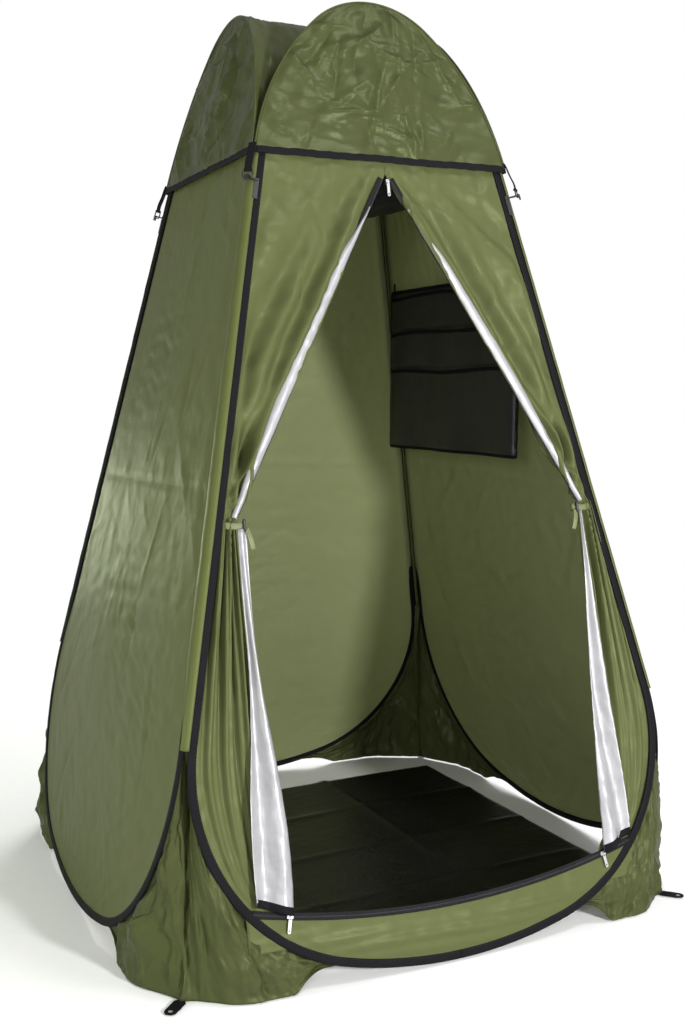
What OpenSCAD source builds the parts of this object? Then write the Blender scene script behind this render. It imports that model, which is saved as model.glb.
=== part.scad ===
// Pop-up privacy shower tent: four leaning wall panels, each on its own closed spring-wire
// loop, hinged along the corner edges, with a lift-off rain hood, a zipped door, a hanging
// organiser and a loose floor mat. Millimetres, +Z up, the door faces -Y.
// Origin: centre of the ground square, on the ground.

/* [Overall] */
// height of the ring where the walls meet the rain hood
ring_z = 1580; // [1400:10:1800]
// half the side of the square at ring height
ring_half = 280; // [220:5:340]
// half the side of the square on the ground
base_half = 620; // [500:5:700]

/* [Panel loops] */
// radius of the flat curve each loop stands on
bottom_r = 950; // [700:10:1400]
// radius of the loop's lower corners
corner_r = 370; // [300:5:440]
// rise of the loop's arch above the ring, measured along the panel
arch_rise = 317; // [240:1:380]
// radius of the top of the arch
arch_top_r = 170; // [140:5:200]
// distance from the corner edge to the wire
wire_inset = 10.5; // [10.5:0.5:20]
// thickness of the flat spring wire, in the panel's plane
wire_t = 1.6; // [1:0.1:2]
// width of the flat spring wire, across the panel's plane
wire_w = 3; // [2:0.1:3.2]
// width of the fabric binding over the wire
bind_w = 20; // [14:1:20]
// thickness of the binding
bind_t = 6; // [5:0.5:7]
// thickness of every cloth sheet
cloth_t = 0.6; // [0.4:0.1:1]

/* [Door] */
// height of the door's top, measured along the panel
door_top = 1585; // [1500:5:1600]
// sideways distance from the centre line to a tie-back
tie_x = 390; // [300:5:400]
// height of the tie-backs, measured along the panel
tie_v = 880; // [700:10:1000]
// height of the middle of the sill zip, measured along the panel
sill_v = 113; // [90:1:140]
// radius of the sill zip's curve
sill_r = 1800; // [1200:50:2500]
// sideways distance from the centre line to a parked sill slider
sill_slider_x = 352; // [300:1:360]
// width of the silver strip turned back along each free edge
lining_w = 17; // [10:1:24]

/* [Hood] */
// gap between the hood and the loops' binding
hood_gap = 4.6; // [3:0.1:10]
// how far the hood stands out past the wire on the arches
hood_over = 18; // [14:1:22]
// width of the black hem round the hood
hem_w = 14; // [8:1:20]
// sag of the ceiling net under the hood
net_sag = 95; // [40:5:140]

/* [Corners] */
// half the width of the flat facet at the foot of each corner
facet_half = 100; // [30:1:110]
// radius of the hole in each peg tab
peg_hole_r = 5; // [3:0.5:8]

/* [Organiser] */
// width of the hanging organiser
org_w = 620; // [300:5:620]
// height of the hanging organiser
org_h = 405; // [300:5:420]
// height of its top edge above the ground
org_z = 1360; // [1200:5:1380]

/* [Floor mat] */
// width of the mat
mat_w = 1040; // [900:10:1100]
// depth of the mat
mat_d = 980; // [900:10:1020]
// thickness of the mat
mat_t = 1.2; // [0.8:0.1:2]
// angle by which the loose mat lies askew
mat_turn = 2; // [0:1:4]

/* [Hidden] */
$fn = 64;

// panel numbers, counted round from the door
FRONT = 0;
RIGHT = 1;
BACK = 2;
LEFT = 3;

// slope of a panel and length of its side
k = (base_half - ring_half) / ring_z;
lean = atan(k);
ring_v = ring_z * sqrt(1 + k * k);
phi = atan((base_half - ring_half) / ring_v);
diag_lean = atan(sqrt(2) * k);
ring_w = ring_z * sqrt(1 + 2 * k * k);
// the panels' middle planes stand outside the hinge axes, so that panels can close flat
plane_off = 5;
// clearance between parts that must not touch
gap = 0.2;
// the floor clearance of the cloth and the tabs
floor_gap = 3;
// the cloth's edge lies inside the wire, in the binding's fold
cloth_inset = 2;

// tangent points and centres of one loop, on the right half
nrm = [cos(phi), sin(phi)];
sde = [-sin(phi), cos(phi)];
p0 = [base_half, 0] - wire_inset * nrm;
low_v = bind_w / 2 + 2;
b_c = [0, low_v + bottom_r];
q0 = p0 - corner_r * nrm;
eq = q0 - b_c;
es = eq * sde;
c_c = q0 + (-es - sqrt(es * es - eq * eq + pow(bottom_r - corner_r, 2))) * sde;
d_b = (c_c - b_c) / norm(c_c - b_c);
a_b = atan2(d_b[1], d_b[0]);
side_lo = c_c + corner_r * nrm;
side_hi = p0 + ((ring_v - p0[1]) / sde[1]) * sde;
t_c = [0, ring_v + arch_rise - arch_top_r];
d_t = side_hi - t_c;
arch_r = (d_t * d_t - arch_top_r * arch_top_r) / (2 * (d_t * nrm - arch_top_r));
s_c = side_hi - arch_r * nrm;
a_t = atan2(t_c[1] - s_c[1], t_c[0] - s_c[0]);

function on_arc(c, r, a) = c + r * [cos(a), sin(a)];
function flip(p) = [-p[0], p[1]];
// half the width between the corner edges at height v along a panel
function half_at(v) = base_half - v * tan(phi);
// points along the arch from right to left, each side of n steps, moved out by off
function arch_points(off, n) = concat(
  [for (i = [0 : n]) on_arc(s_c, arch_r + off, phi + (a_t - phi) * i / n)],
  [for (i = [1 : 2 * n - 1]) on_arc(t_c, arch_top_r + off, a_t + (180 - 2 * a_t) * i / (2 * n))],
  [for (i = [n : -1 : 0]) flip(on_arc(s_c, arch_r + off, phi + (a_t - phi) * i / n))]);

// levels of the layers across a panel, counted outwards from its middle plane
sheet_n = -cloth_t / 2;
gusset_n = -bind_t / 2 - cloth_t - 0.4;
tape_n = 0.45;
lining_n = 1.6;
left_tail_n = 2.5;
right_tail_n = 3.9;
sill_slider_n = 2.4;
door_slider_n = 5.2;
toggle_n = 6.3;
hood_n = bind_t / 2 + hood_gap;
// longer than any panel, for cutting bands and half-spaces
far = 1500;

// places children in a panel: x along the panel, y up its slope, z outwards
module on_panel(i)
  rotate([0, 0, 90 * i]) translate([0, -base_half, 0]) rotate([90 - lean, 0, 0])
    translate([0, 0, plane_off]) children();

// places children on a corner edge: x along the tangent, y up the edge, z outwards
// corner 0 joins left and front, 1 front and right, 2 right and back, 3 back and left
module on_corner(j)
  rotate([0, 0, -45 + 90 * j]) translate([0, -sqrt(2) * base_half, 0])
    rotate([90 - diag_lean, 0, 0]) children();

// the part of a circle outside the chord from p to q
module cap_2d(c, r, p, q) {
  d = (q - p) / norm(q - p);
  o = [d[1], -d[0]];
  intersection() {
    translate(c) circle(r, $fn = 360);
    polygon([p - o, p + 400 * o, q + 400 * o, q - o]);
  }
}

// the area inside a loop whose outline is moved out by off
module loop_2d(off) {
  t2 = on_arc(b_c, bottom_r + off, a_b);
  t1 = on_arc(c_c, corner_r + off, phi);
  th = on_arc(s_c, arch_r + off, phi);
  ta = on_arc(t_c, arch_top_r + off, a_t);
  union() {
    polygon([flip(t2), t2, t1, th, ta, flip(ta), flip(th), flip(t1)]);
    cap_2d(b_c, bottom_r + off, flip(t2), t2);
    cap_2d(t_c, arch_top_r + off, ta, flip(ta));
    for (m = [0, 1]) mirror([m, 0]) {
      cap_2d(c_c, corner_r + off, t2, t1);
      cap_2d(s_c, arch_r + off, th, ta);
    }
  }
}

module band_2d(v0, v1) translate([-far, v0]) square([2 * far, v1 - v0]);

// a flat ring that follows the loop from offset inner to offset outer, n0 to n1 across the panel
module loop_ring(inner, outer, n0, n1)
  translate([0, 0, n0]) linear_extrude(n1 - n0) difference() {
    loop_2d(outer);
    loop_2d(inner);
  }

// ---- one loop ----
module wire(i)
  color([0.55, 0.56, 0.58]) on_panel(i)
    loop_ring(-wire_t / 2, wire_t / 2, -wire_w / 2, wire_w / 2);

// tape folded over the wire and the cloth's edge, open towards the middle of the loop
module binding(i)
  color([0.07, 0.07, 0.08]) on_panel(i) difference() {
    loop_ring(-bind_w / 2, bind_w / 2, -bind_t / 2, bind_t / 2);
    loop_ring(-bind_w, wire_t / 2 + gap, -wire_w / 2 - 0.15, wire_w / 2 + 0.15);
  }

module wall(i)
  color([0.34, 0.42, 0.20]) on_panel(i) translate([0, 0, sheet_n])
    linear_extrude(cloth_t) intersection() {
      loop_2d(-cloth_inset);
      band_2d(-far, ring_v - 1);
    }

module arch_net(i)
  color([0.10, 0.10, 0.11]) on_panel(i) translate([0, 0, sheet_n])
    linear_extrude(cloth_t) intersection() {
      loop_2d(-cloth_inset);
      band_2d(ring_v + 1, far + ring_v);
    }

// ---- corner gussets ----
facet_v = side_lo[1] + 20;
foot_half = base_half - sqrt(2) * facet_half;
gusset_in = 150;
// the cloth triangle between the loop, the ground and the corner facet
module gusset_half()
  translate([0, 0, gusset_n]) linear_extrude(cloth_t) difference() {
    intersection() {
      polygon([[gusset_in, floor_gap], [foot_half, floor_gap], [half_at(facet_v) - 0.8, facet_v],
        [corner_r, facet_v]]);
      band_2d(0, facet_v - 60);
    }
    loop_2d(3);
  }

module gusset_facet(j) {
  lo = sqrt(2) * base_half - facet_half;
  zs = facet_v * cos(lean);
  hi = sqrt(2) * (base_half - k * zs);
  rotate([0, 0, -45 + 90 * j]) translate([0, -lo, 0])
    rotate([90 - atan((lo - hi) / zs), 0, 0]) translate([0, 0, -0.6])
      linear_extrude(cloth_t)
        polygon([[1.6 - facet_half, floor_gap], [facet_half - 1.6, floor_gap],
          [1, facet_v * 0.985], [-1, facet_v * 0.985]]);
}

module gussets(i, facets)
  color([0.30, 0.38, 0.18]) {
    on_panel(i) for (m = [0, 1]) mirror([m, 0, 0]) gusset_half();
    for (j = facets) gusset_facet(j);
  }

tab_w = 24;
tab_len = 34;
tab_t = 1.6;
// a webbing tab with a raised eyelet, flat on the ground at one corner
module peg_tab(j)
  color([0.07, 0.07, 0.08]) rotate([0, 0, -45 + 90 * j])
    translate([0, -sqrt(2) * base_half + facet_half - 2, floor_gap]) difference() {
      union() {
        translate([-tab_w / 2, -tab_len, 0]) cube([tab_w, tab_len, tab_t]);
        translate([0, -tab_len, 0]) cylinder(d = tab_w, h = tab_t);
        translate([0, -tab_len, 0]) cylinder(r = peg_hole_r + 3.5, h = tab_t + 0.8);
      }
      translate([0, -tab_len, -1]) cylinder(r = peg_hole_r, h = 6);
    }

// ---- front cloth and door ----
free_len = norm([tie_x, door_top - tie_v]);
free_a = atan(tie_x / (door_top - tie_v));
tail_top = tie_v - 16;
// a tail's inner and outer corners at its hem, and how far its inner edge leans
tail_in = tie_x - 40;
tail_out = tie_x + 22;
tail_lean = 22;
tail_low = 154;
// rise of the hem from its inner to its outer corner
tail_rise = 28;

// the disc whose lower rim is the sill zip, its radius grown by off
module sill_disc(off) translate([0, sill_v + sill_r]) circle(sill_r + off, $fn = 720);

module front_sill()
  color([0.36, 0.44, 0.22]) on_panel(FRONT) translate([0, 0, sheet_n])
    linear_extrude(cloth_t) difference() {
      intersection() {
        loop_2d(-cloth_inset);
        band_2d(-far, sill_v + 60);
      }
      sill_disc(0);
    }

// right-hand curtain, gathered between the loop and the free edge
module curtain_half()
  translate([0, 0, sheet_n]) linear_extrude(cloth_t) difference() {
    intersection() {
      loop_2d(-cloth_inset);
      polygon([[1.5, door_top - 2], [1.5, ring_v - 1], [far, ring_v - 1], [far, 0],
        [sill_slider_x - 30, 0], [sill_slider_x - 4, sill_v + 10], [tie_x, tie_v]]);
    }
    // everything at and below the sill zip belongs to the sill
    difference() {
      band_2d(-far, sill_v + 62);
      sill_disc(-1);
    }
  }

// a strip along the sill zip, half_w to either side of it and t thick
module sill_strip(half_w, t)
  translate([0, 0, tape_n]) linear_extrude(t) intersection() {
    difference() {
      sill_disc(half_w);
      sill_disc(-half_w);
    }
    loop_2d(-bind_w / 2 - 1);
    band_2d(-far, sill_v + 100);
  }

// the zip's tape and the raised row of teeth along its middle
module sill_zip_tape()
  color([0.06, 0.06, 0.07]) on_panel(FRONT) {
    sill_strip(7, 0.65);
    sill_strip(2.6, 1.75);
  }

// strips along a free edge, right side; they swing about the door's top
module edge_strip(w, t, n0, start, stop)
  translate([0, door_top, n0]) rotate([0, 0, -90 + free_a])
    translate([start, 1.2, 0]) cube([stop - start, w, t]);

// the silver strip starts below the door's top, where the cloth is still zipped flat
module lining_half() edge_strip(lining_w, cloth_t, lining_n, 85, free_len - 9);
module zip_tape_half() {
  edge_strip(11, 0.8, tape_n, 14, free_len - 6);
  edge_strip(3, 1.05, tape_n, 14, free_len - 6);
}

// hanging tail of the right flap
module tail_half(n0)
  translate([0, 0, n0]) linear_extrude(cloth_t)
    polygon([[tail_in + tail_lean, tail_top], [tie_x - 2, tail_top], [tie_x + 6, tail_top - 390],
      [tail_out, tail_low + tail_rise], [tail_in, tail_low]]);
// its black hem, laid over the lower edge
module tail_hem_half(n0)
  translate([0, 0, n0 + cloth_t + 0.05]) linear_extrude(0.5)
    polygon([[tail_in, tail_low], [tail_out, tail_low + tail_rise],
      [tail_out - 0.5, tail_low + tail_rise + hem_w], [tail_in + 0.5, tail_low + hem_w]]);

// a flat loop of cloth round the gathered curtain, open towards the panel's wire
tie_t = 0.8;
tie_n0 = -2.4;
tie_n1 = 6.2;
module tie_back_half()
  difference() {
    translate([tie_x - 19, tie_v - hem_w, tie_n0]) cube([42, hem_w, tie_n1 - tie_n0]);
    translate([tie_x - 19 + tie_t, tie_v - 20, tie_n0 + tie_t]) cube([60, 26, tie_n1 - tie_n0 - 2 * tie_t]);
    // stops at the binding's inner edge
    translate([half_at(tie_v) - wire_inset - bind_w / 2 - 0.6, tie_v - 20, -8]) cube([40, 30, 20]);
  }

// ---- zip slider and pull, shared by the three zips; the pull hangs along -y ----
slider_w = 7.2;
slider_len = 12;
slider_plate = 1.1;
slider_h = 3.2;
pull_w = 6.4;
pull_len = 27;
pull_t = 1.2;
pull_n = slider_h + 0.15;
pin_r = 0.75;
// two plates joined by a wedge, and a bridge on top that holds the pull's pin
// the plates' length follows the zip, turned by zip_a from the way the pull hangs
module slider(zip_a)
  difference() {
    union() {
      rotate([0, 0, zip_a]) {
        for (n = [0, slider_h - slider_plate])
          translate([-slider_w / 2, -slider_len / 2, n]) cube([slider_w, slider_len, slider_plate]);
        translate([-0.9, -slider_len / 2, slider_plate - 0.1]) cube([1.8, 5, 1.3]);
      }
      translate([-1, -3.5, slider_h - 0.1]) cube([2, 7, 3]);
    }
    translate([-2, -1.6, slider_h]) cube([4, 4.2, 1.9]);
  }
// a flat tag on two arms, with a pin that turns under the bridge
module pull()
  difference() {
    union() {
      translate([-pull_w / 2, -pull_len, pull_n]) cube([pull_w, pull_len - 6, pull_t]);
      translate([0, -pull_len, pull_n]) cylinder(d = pull_w, h = pull_t);
      for (s = [-1, 1]) translate([s * 2.35 - 0.85, -8, pull_n]) cube([1.7, 8.5, pull_t]);
      translate([0, 0.5, slider_h + pin_r]) rotate([0, 90, 0]) cylinder(r = pin_r, h = 6.2, center = true);
    }
    translate([0, 2 - pull_len, pull_n - 1]) cylinder(r = 1.7, h = 4);
  }
sill_a = asin(sill_slider_x / sill_r);
// parked sill slider, on the curve of the sill zip
module at_sill(s)
  on_panel(FRONT) translate([0, sill_v + sill_r, sill_slider_n]) rotate([0, 0, s * sill_a])
    translate([0, -sill_r, 0]) children();
module at_door() on_panel(FRONT) translate([0, door_top - 20, door_slider_n]) children();

// a round-ended bar on a short shank
toggle_len = 17;
toggle_r = 3;
module toggle_half()
  translate([tie_x - 12, tie_v - hem_w / 2, toggle_n]) {
    cylinder(r = 1.6, h = toggle_r + 0.2);
    translate([0, 0, 5.4]) {
      rotate([90, 0, 0]) cylinder(r = toggle_r, h = toggle_len, center = true);
      for (s = [-1, 1]) translate([0, s * toggle_len / 2, 0]) sphere(r = toggle_r + 0.4);
    }
  }

// ---- hood ----
// how far the hood reaches down past the ring
hood_drop = 6;
module hood_panel(i)
  color([0.38, 0.46, 0.24]) on_panel(i) translate([0, 0, hood_n])
    linear_extrude(cloth_t) intersection() {
      loop_2d(hood_over);
      band_2d(ring_v - hood_drop, ring_v + far);
    }

// an arch as seen along one axis, and two such vaults crossed
module vault_2d(off) {
  arch = arch_points(off, 12);
  foot = arch[0][0] + 2;
  polygon(concat([[foot, ring_z - hood_drop]],
    [for (p = arch) [p[0], p[1] * cos(lean) + (hood_n + plane_off) * sin(lean)]],
    [[-foot, ring_z - hood_drop]]));
}
module vault(off)
  for (a = [0, 90]) rotate([0, 0, a]) translate([0, base_half, 0]) rotate([90, 0, 0])
    linear_extrude(2 * base_half) vault_2d(off);

// the half-space on the inner side of one hood panel
module inside_of(i)
  on_panel(i) translate([-far, ring_v / 3, -2 * far]) cube([2 * far, 2 * far, 2 * far + hood_n - gap]);

module hood_roof()
  color([0.36, 0.44, 0.22]) intersection() {
    difference() {
      vault(hood_over);
      vault(hood_over - cloth_t - 0.2);
      translate([-base_half, -base_half, ring_z - 50]) cube([2 * base_half, 2 * base_half, 46]);
    }
    inside_of(FRONT);
    inside_of(RIGHT);
    inside_of(BACK);
    inside_of(LEFT);
  }

hem_half = half_at(ring_v) + (hood_n + plane_off + cloth_t + gap + 1.4);
module hood_hem()
  color([0.06, 0.06, 0.07]) for (i = [0 : 3]) on_panel(i)
    translate([-hem_half, ring_v - hood_drop - 1, hood_n + cloth_t + gap])
      cube([2 * hem_half, hem_w, 1.6]);

// straps, rings and hooks stand on the corner edges, ring_at up the edge
strap_w = 16;
strap_n = 24.5;
ring_n = strap_n + 0.2;
ring_at = ring_w - 62;
ring_half_w = 11;
ring_half_h = 8;
ring_bar_r = 1.55;
module hood_straps()
  color([0.08, 0.08, 0.09]) for (j = [0 : 3]) on_corner(j) difference() {
    union() {
      translate([-strap_w / 2, ring_at + ring_half_h, strap_n]) cube([strap_w, 70, 1.4]);
      translate([-strap_w / 2, ring_at + ring_half_h, ring_n]) rotate([0, 90, 0])
        cylinder(r = 3, h = strap_w);
    }
    translate([-strap_w, ring_at + ring_half_h, ring_n]) rotate([0, 90, 0])
      cylinder(r = ring_bar_r + gap, h = 2 * strap_w);
  }
module hood_rings()
  color([0.10, 0.10, 0.11]) for (j = [0 : 3]) on_corner(j) translate([0, ring_at, ring_n])
    for (s = [-1, 1]) {
      translate([0, s * ring_half_h, 0]) rotate([0, 90, 0])
        cylinder(r = ring_bar_r, h = 2 * ring_half_w, center = true);
      translate([s * ring_half_w, 0, 0]) rotate([90, 0, 0])
        cylinder(r = ring_bar_r, h = 2 * ring_half_h, center = true);
      for (q = [-1, 1]) translate([s * ring_half_w, q * ring_half_h, 0]) sphere(r = ring_bar_r);
    }
hook_w = 9;
hook_t = 2.5;
hook_foot = 42;
hook_arm = 2.8;
hook_root_n = 17;
// angle between a corner's outward direction and the normals of its two panels
corner_turn = acos(pow(sin(lean), 2)) / 2;
// the foot lies on the binding of the panel on side s of the corner
module hook_on_binding(s, y, len)
  rotate([0, s * corner_turn, 0])
    translate([s * (hook_w / 2 + 1) - hook_w / 2, y, plane_off + bind_t / 2 + 0.4])
    cube([hook_w, len, hook_t]);
// a flat foot sewn to one binding, and an arm that reaches out through the ring
module corner_hook(j, s)
  color([0.09, 0.09, 0.10]) on_corner(j) translate([0, ring_at - ring_half_h, 0]) {
    hook_on_binding(s, -34, hook_foot);
    hull() {
      hook_on_binding(s, 2.4, hook_arm);
      translate([-hook_w / 2, 2.4, hook_root_n]) cube([hook_w, hook_arm, 1]);
    }
    translate([-hook_w / 2, 0, 0]) rotate([90, 0, 90]) linear_extrude(hook_w)
      polygon([[2.4 + hook_arm, hook_root_n], [2.4 + hook_arm, strap_n + 6], [-6, strap_n + 6],
        [-7, strap_n + 5], [-7, strap_n + 3.4], [2.4, strap_n + 3.4], [2.4, hook_root_n]]);
  }

// ---- ceiling net, a shallow bowl hung from the ring ----
net_half = ring_half - 12;
net_r = (2 * net_half * net_half + net_sag * net_sag) / (2 * net_sag);
module roof_net()
  color([0.08, 0.08, 0.09]) intersection() {
    translate([0, 0, ring_z - 8 - net_sag + net_r]) difference() {
      sphere(r = net_r, $fn = 240);
      sphere(r = net_r - cloth_t, $fn = 240);
    }
    translate([-net_half, -net_half, ring_z - 300]) cube([2 * net_half, 2 * net_half, 400]);
  }

// ---- organiser, hung upright from the inside of the right wall ----
org_x = base_half - k * org_z - 1.5;
org_y = -org_w / 2;
module org_at() translate([org_x, org_y, org_z - org_h]) children();
module organiser_sheet()
  color([0.08, 0.08, 0.09]) org_at() translate([-0.6, 0, 0]) cube([0.6, org_w, org_h]);
// bottom and mouth of each tier of pockets, as shares of the height
tiers = [[0.02, 0.50], [0.52, 0.74], [0.76, 0.97]];
org_edge = 12;
pocket_d = 5.4;
module organiser_pockets()
  color([0.05, 0.05, 0.06]) org_at() for (t = tiers)
    translate([-pocket_d - 0.8, org_edge + 1, t[0] * org_h + 6]) difference() {
      cube([pocket_d, org_w - 2 * org_edge - 2, (t[1] - t[0]) * org_h - 8]);
      translate([cloth_t, cloth_t, cloth_t])
        cube([pocket_d - 2 * cloth_t, org_w - 2 * org_edge - 2 - 2 * cloth_t, org_h]);
    }
// tape round the sheet and along each mouth, and two tabs that tie it to the wall
module organiser_binding()
  color([0.12, 0.12, 0.13]) org_at() {
    translate([-2, 0, 0]) difference() {
      cube([1.2, org_w, org_h]);
      translate([-1, org_edge, org_edge]) cube([4, org_w - 2 * org_edge, org_h - 2 * org_edge]);
    }
    for (t = tiers)
      translate([-pocket_d - 2, org_edge + 1, t[1] * org_h - 10]) cube([1, org_w - 2 * org_edge - 2, 9]);
    for (y = [14, org_w - 24]) translate([-2, y, org_h]) difference() {
      cube([1.2, 10, 22]);
      translate([-1, 3, 3]) cube([4, 4, 15]);
    }
  }

// ---- floor mat ----
module floor_mat()
  color([0.06, 0.06, 0.07]) translate([20, -35, 0]) rotate([0, 0, mat_turn])
    translate([-mat_w / 2, -mat_d / 2, 0]) cube([mat_w, mat_d, mat_t]);

module at_left() on_panel(FRONT) mirror([1, 0, 0]) children();
module at_right() on_panel(FRONT) children();

module front_wire() wire(FRONT);
module left_wire() wire(LEFT);
module right_wire() wire(RIGHT);
module back_wire() wire(BACK);
module front_binding() binding(FRONT);
module left_binding() binding(LEFT);
module right_binding() binding(RIGHT);
module back_binding() binding(BACK);
module left_wall() wall(LEFT);
module right_wall() wall(RIGHT);
module back_wall() wall(BACK);
module front_arch_net() arch_net(FRONT);
module left_arch_net() arch_net(LEFT);
module right_arch_net() arch_net(RIGHT);
module back_arch_net() arch_net(BACK);
module front_gussets() gussets(FRONT, [0, 1]);
module back_gussets() gussets(BACK, [2, 3]);
module left_gussets() gussets(LEFT, []);
module right_gussets() gussets(RIGHT, []);
module left_curtain() color([0.34, 0.42, 0.20]) at_left() curtain_half();
module right_curtain() color([0.34, 0.42, 0.20]) at_right() curtain_half();
module tie_backs()
  color([0.30, 0.38, 0.18]) {
    at_left() tie_back_half();
    at_right() tie_back_half();
  }
module front_corner_hooks() {
  corner_hook(0, 1);
  corner_hook(1, -1);
}
module right_corner_hook() corner_hook(2, -1);
module left_corner_hook() corner_hook(3, 1);
module front_peg_tabs() {
  peg_tab(0);
  peg_tab(1);
}
module right_peg_tab() peg_tab(2);
module left_peg_tab() peg_tab(3);
module hood_front_panel() hood_panel(FRONT);
module hood_right_panel() hood_panel(RIGHT);
module hood_back_panel() hood_panel(BACK);
module hood_left_panel() hood_panel(LEFT);
module left_lining() color([0.80, 0.80, 0.82]) at_left() lining_half();
module right_lining() color([0.80, 0.80, 0.82]) at_right() lining_half();
module left_zip_tape() color([0.05, 0.05, 0.06]) at_left() zip_tape_half();
module right_zip_tape() color([0.05, 0.05, 0.06]) at_right() zip_tape_half();
module left_tail() color([0.82, 0.82, 0.84]) at_left() tail_half(left_tail_n);
module right_tail() color([0.82, 0.82, 0.84]) at_right() tail_half(right_tail_n);
module left_tail_hem() color([0.05, 0.05, 0.06]) at_left() tail_hem_half(left_tail_n);
module right_tail_hem() color([0.05, 0.05, 0.06]) at_right() tail_hem_half(right_tail_n);
module door_slider() color([0.72, 0.73, 0.75]) at_door() slider(0);
module door_pull() color([0.78, 0.79, 0.80]) at_door() pull();
module sill_slider_left() color([0.72, 0.73, 0.75]) at_sill(-1) slider(90);
module sill_pull_left() color([0.78, 0.79, 0.80]) at_sill(-1) pull();
module sill_slider_right() color([0.72, 0.73, 0.75]) at_sill(1) slider(-90);
module sill_pull_right() color([0.78, 0.79, 0.80]) at_sill(1) pull();
module left_toggle() color([0.08, 0.08, 0.09]) at_left() toggle_half();
module right_toggle() color([0.08, 0.08, 0.09]) at_right() toggle_half();

front_wire();
front_binding();
front_arch_net();
front_sill();
left_curtain();
right_curtain();
sill_zip_tape();
front_gussets();
tie_backs();
roof_net();
front_corner_hooks();
front_peg_tabs();
left_wire();
left_binding();
left_wall();
left_arch_net();
left_gussets();
left_corner_hook();
left_peg_tab();
right_wire();
right_binding();
right_wall();
right_arch_net();
right_gussets();
right_corner_hook();
right_peg_tab();
back_wire();
back_binding();
back_wall();
back_arch_net();
back_gussets();
hood_front_panel();
hood_right_panel();
hood_back_panel();
hood_left_panel();
hood_roof();
hood_hem();
hood_straps();
hood_rings();
left_lining();
left_zip_tape();
left_tail();
left_tail_hem();
right_lining();
right_zip_tape();
right_tail();
right_tail_hem();
door_slider();
door_pull();
sill_slider_left();
sill_pull_left();
sill_slider_right();
sill_pull_right();
left_toggle();
right_toggle();
organiser_sheet();
organiser_pockets();
organiser_binding();
floor_mat();
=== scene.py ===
"""Looks of the pop-up privacy shower tent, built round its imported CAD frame.

Metres, +Z up, the door faces -Y. Each wall is a panel with its own coordinates: u along the
panel, v up its slope and n outwards from its middle plane.
"""

import math

import bpy
import numpy as np
from mathutils import Matrix, Vector


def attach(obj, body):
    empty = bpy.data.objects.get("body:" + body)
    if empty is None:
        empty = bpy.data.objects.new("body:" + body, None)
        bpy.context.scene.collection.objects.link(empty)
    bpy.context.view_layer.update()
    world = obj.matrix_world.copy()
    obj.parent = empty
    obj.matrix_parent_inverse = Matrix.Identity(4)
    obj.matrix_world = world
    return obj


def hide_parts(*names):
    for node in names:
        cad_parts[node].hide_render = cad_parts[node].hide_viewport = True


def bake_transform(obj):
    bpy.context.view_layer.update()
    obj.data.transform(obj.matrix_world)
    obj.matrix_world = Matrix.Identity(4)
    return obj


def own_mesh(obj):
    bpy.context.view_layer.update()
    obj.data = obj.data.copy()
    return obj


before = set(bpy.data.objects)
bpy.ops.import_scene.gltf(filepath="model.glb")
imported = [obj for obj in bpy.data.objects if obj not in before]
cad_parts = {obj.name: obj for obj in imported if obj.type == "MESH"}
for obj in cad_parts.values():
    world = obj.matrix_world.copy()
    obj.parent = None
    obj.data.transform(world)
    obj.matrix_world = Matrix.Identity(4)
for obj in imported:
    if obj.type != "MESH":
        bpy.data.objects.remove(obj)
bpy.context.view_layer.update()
TAU = math.tau

# ---- the tent's driving sizes, as in the CAD ----
RING_Z, RING, BASE = 1.580, 0.280, 0.620
SLOPE = (BASE - RING) / RING_Z
LEAN = math.atan(SLOPE)
RING_V = RING_Z * math.hypot(1, SLOPE)
PHI = math.atan((BASE - RING) / RING_V)
PLANE = 0.005
INSET = 0.0105
BIND = 0.020
BIND_LOOK = 0.0172
BOTTOM_R, CORNER_R, ARCH_RISE, ARCH_TOP_R = 0.950, 0.370, 0.317, 0.170
DOOR_TOP, TIE_X, TIE_V = 1.585, 0.390, 0.880
FREE_A = math.atan(TIE_X / (DOOR_TOP - TIE_V))
FREE_LEN = math.hypot(TIE_X, DOOR_TOP - TIE_V)
SILL_V, SILL_R = 0.113, 1.800
HOOD_N, HOOD_OVER = 0.0079, 0.018
FRONT, RIGHT, BACK, LEFT = range(4)
PANEL_NAMES = ["front", "right", "back", "left"]


# ---- one wire loop ----
def loop_frame():
    """Centres and angles of the tangent arcs that make the right half of a loop."""
    normal = np.array([math.cos(PHI), math.sin(PHI)])
    along = np.array([-math.sin(PHI), math.cos(PHI)])
    foot = np.array([BASE, 0]) - INSET * normal
    bottom = np.array([0, BIND / 2 + 0.002 + BOTTOM_R])
    start = foot - CORNER_R * normal
    offset = start - bottom
    slide = offset @ along
    reach = math.sqrt(slide**2 - offset @ offset + (BOTTOM_R - CORNER_R) ** 2)
    corner = start + (-slide - reach) * along
    joint = (corner - bottom) / np.linalg.norm(corner - bottom)
    high = foot + (RING_V - foot[1]) / along[1] * along
    top = np.array([0, RING_V + ARCH_RISE - ARCH_TOP_R])
    drop = high - top
    arch_r = (drop @ drop - ARCH_TOP_R**2) / (2 * (drop @ normal - ARCH_TOP_R))
    side = high - arch_r * normal
    return {
        "bottom": (bottom, BOTTOM_R, -math.pi / 2, math.atan2(joint[1], joint[0])),
        "corner": (corner, CORNER_R, math.atan2(joint[1], joint[0]), PHI),
        "arch": (side, arch_r, PHI, math.atan2(top[1] - side[1], top[0] - side[0])),
        "top": (top, ARCH_TOP_R, math.atan2(top[1] - side[1], top[0] - side[0]), math.pi / 2),
    }


ARCS = loop_frame()


def arc(name, off, count):
    centre, radius, start, stop = ARCS[name]
    a = np.linspace(start, stop, count)
    return np.stack([centre[0] + (radius + off) * np.cos(a), centre[1] + (radius + off) * np.sin(a)], 1)


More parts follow.
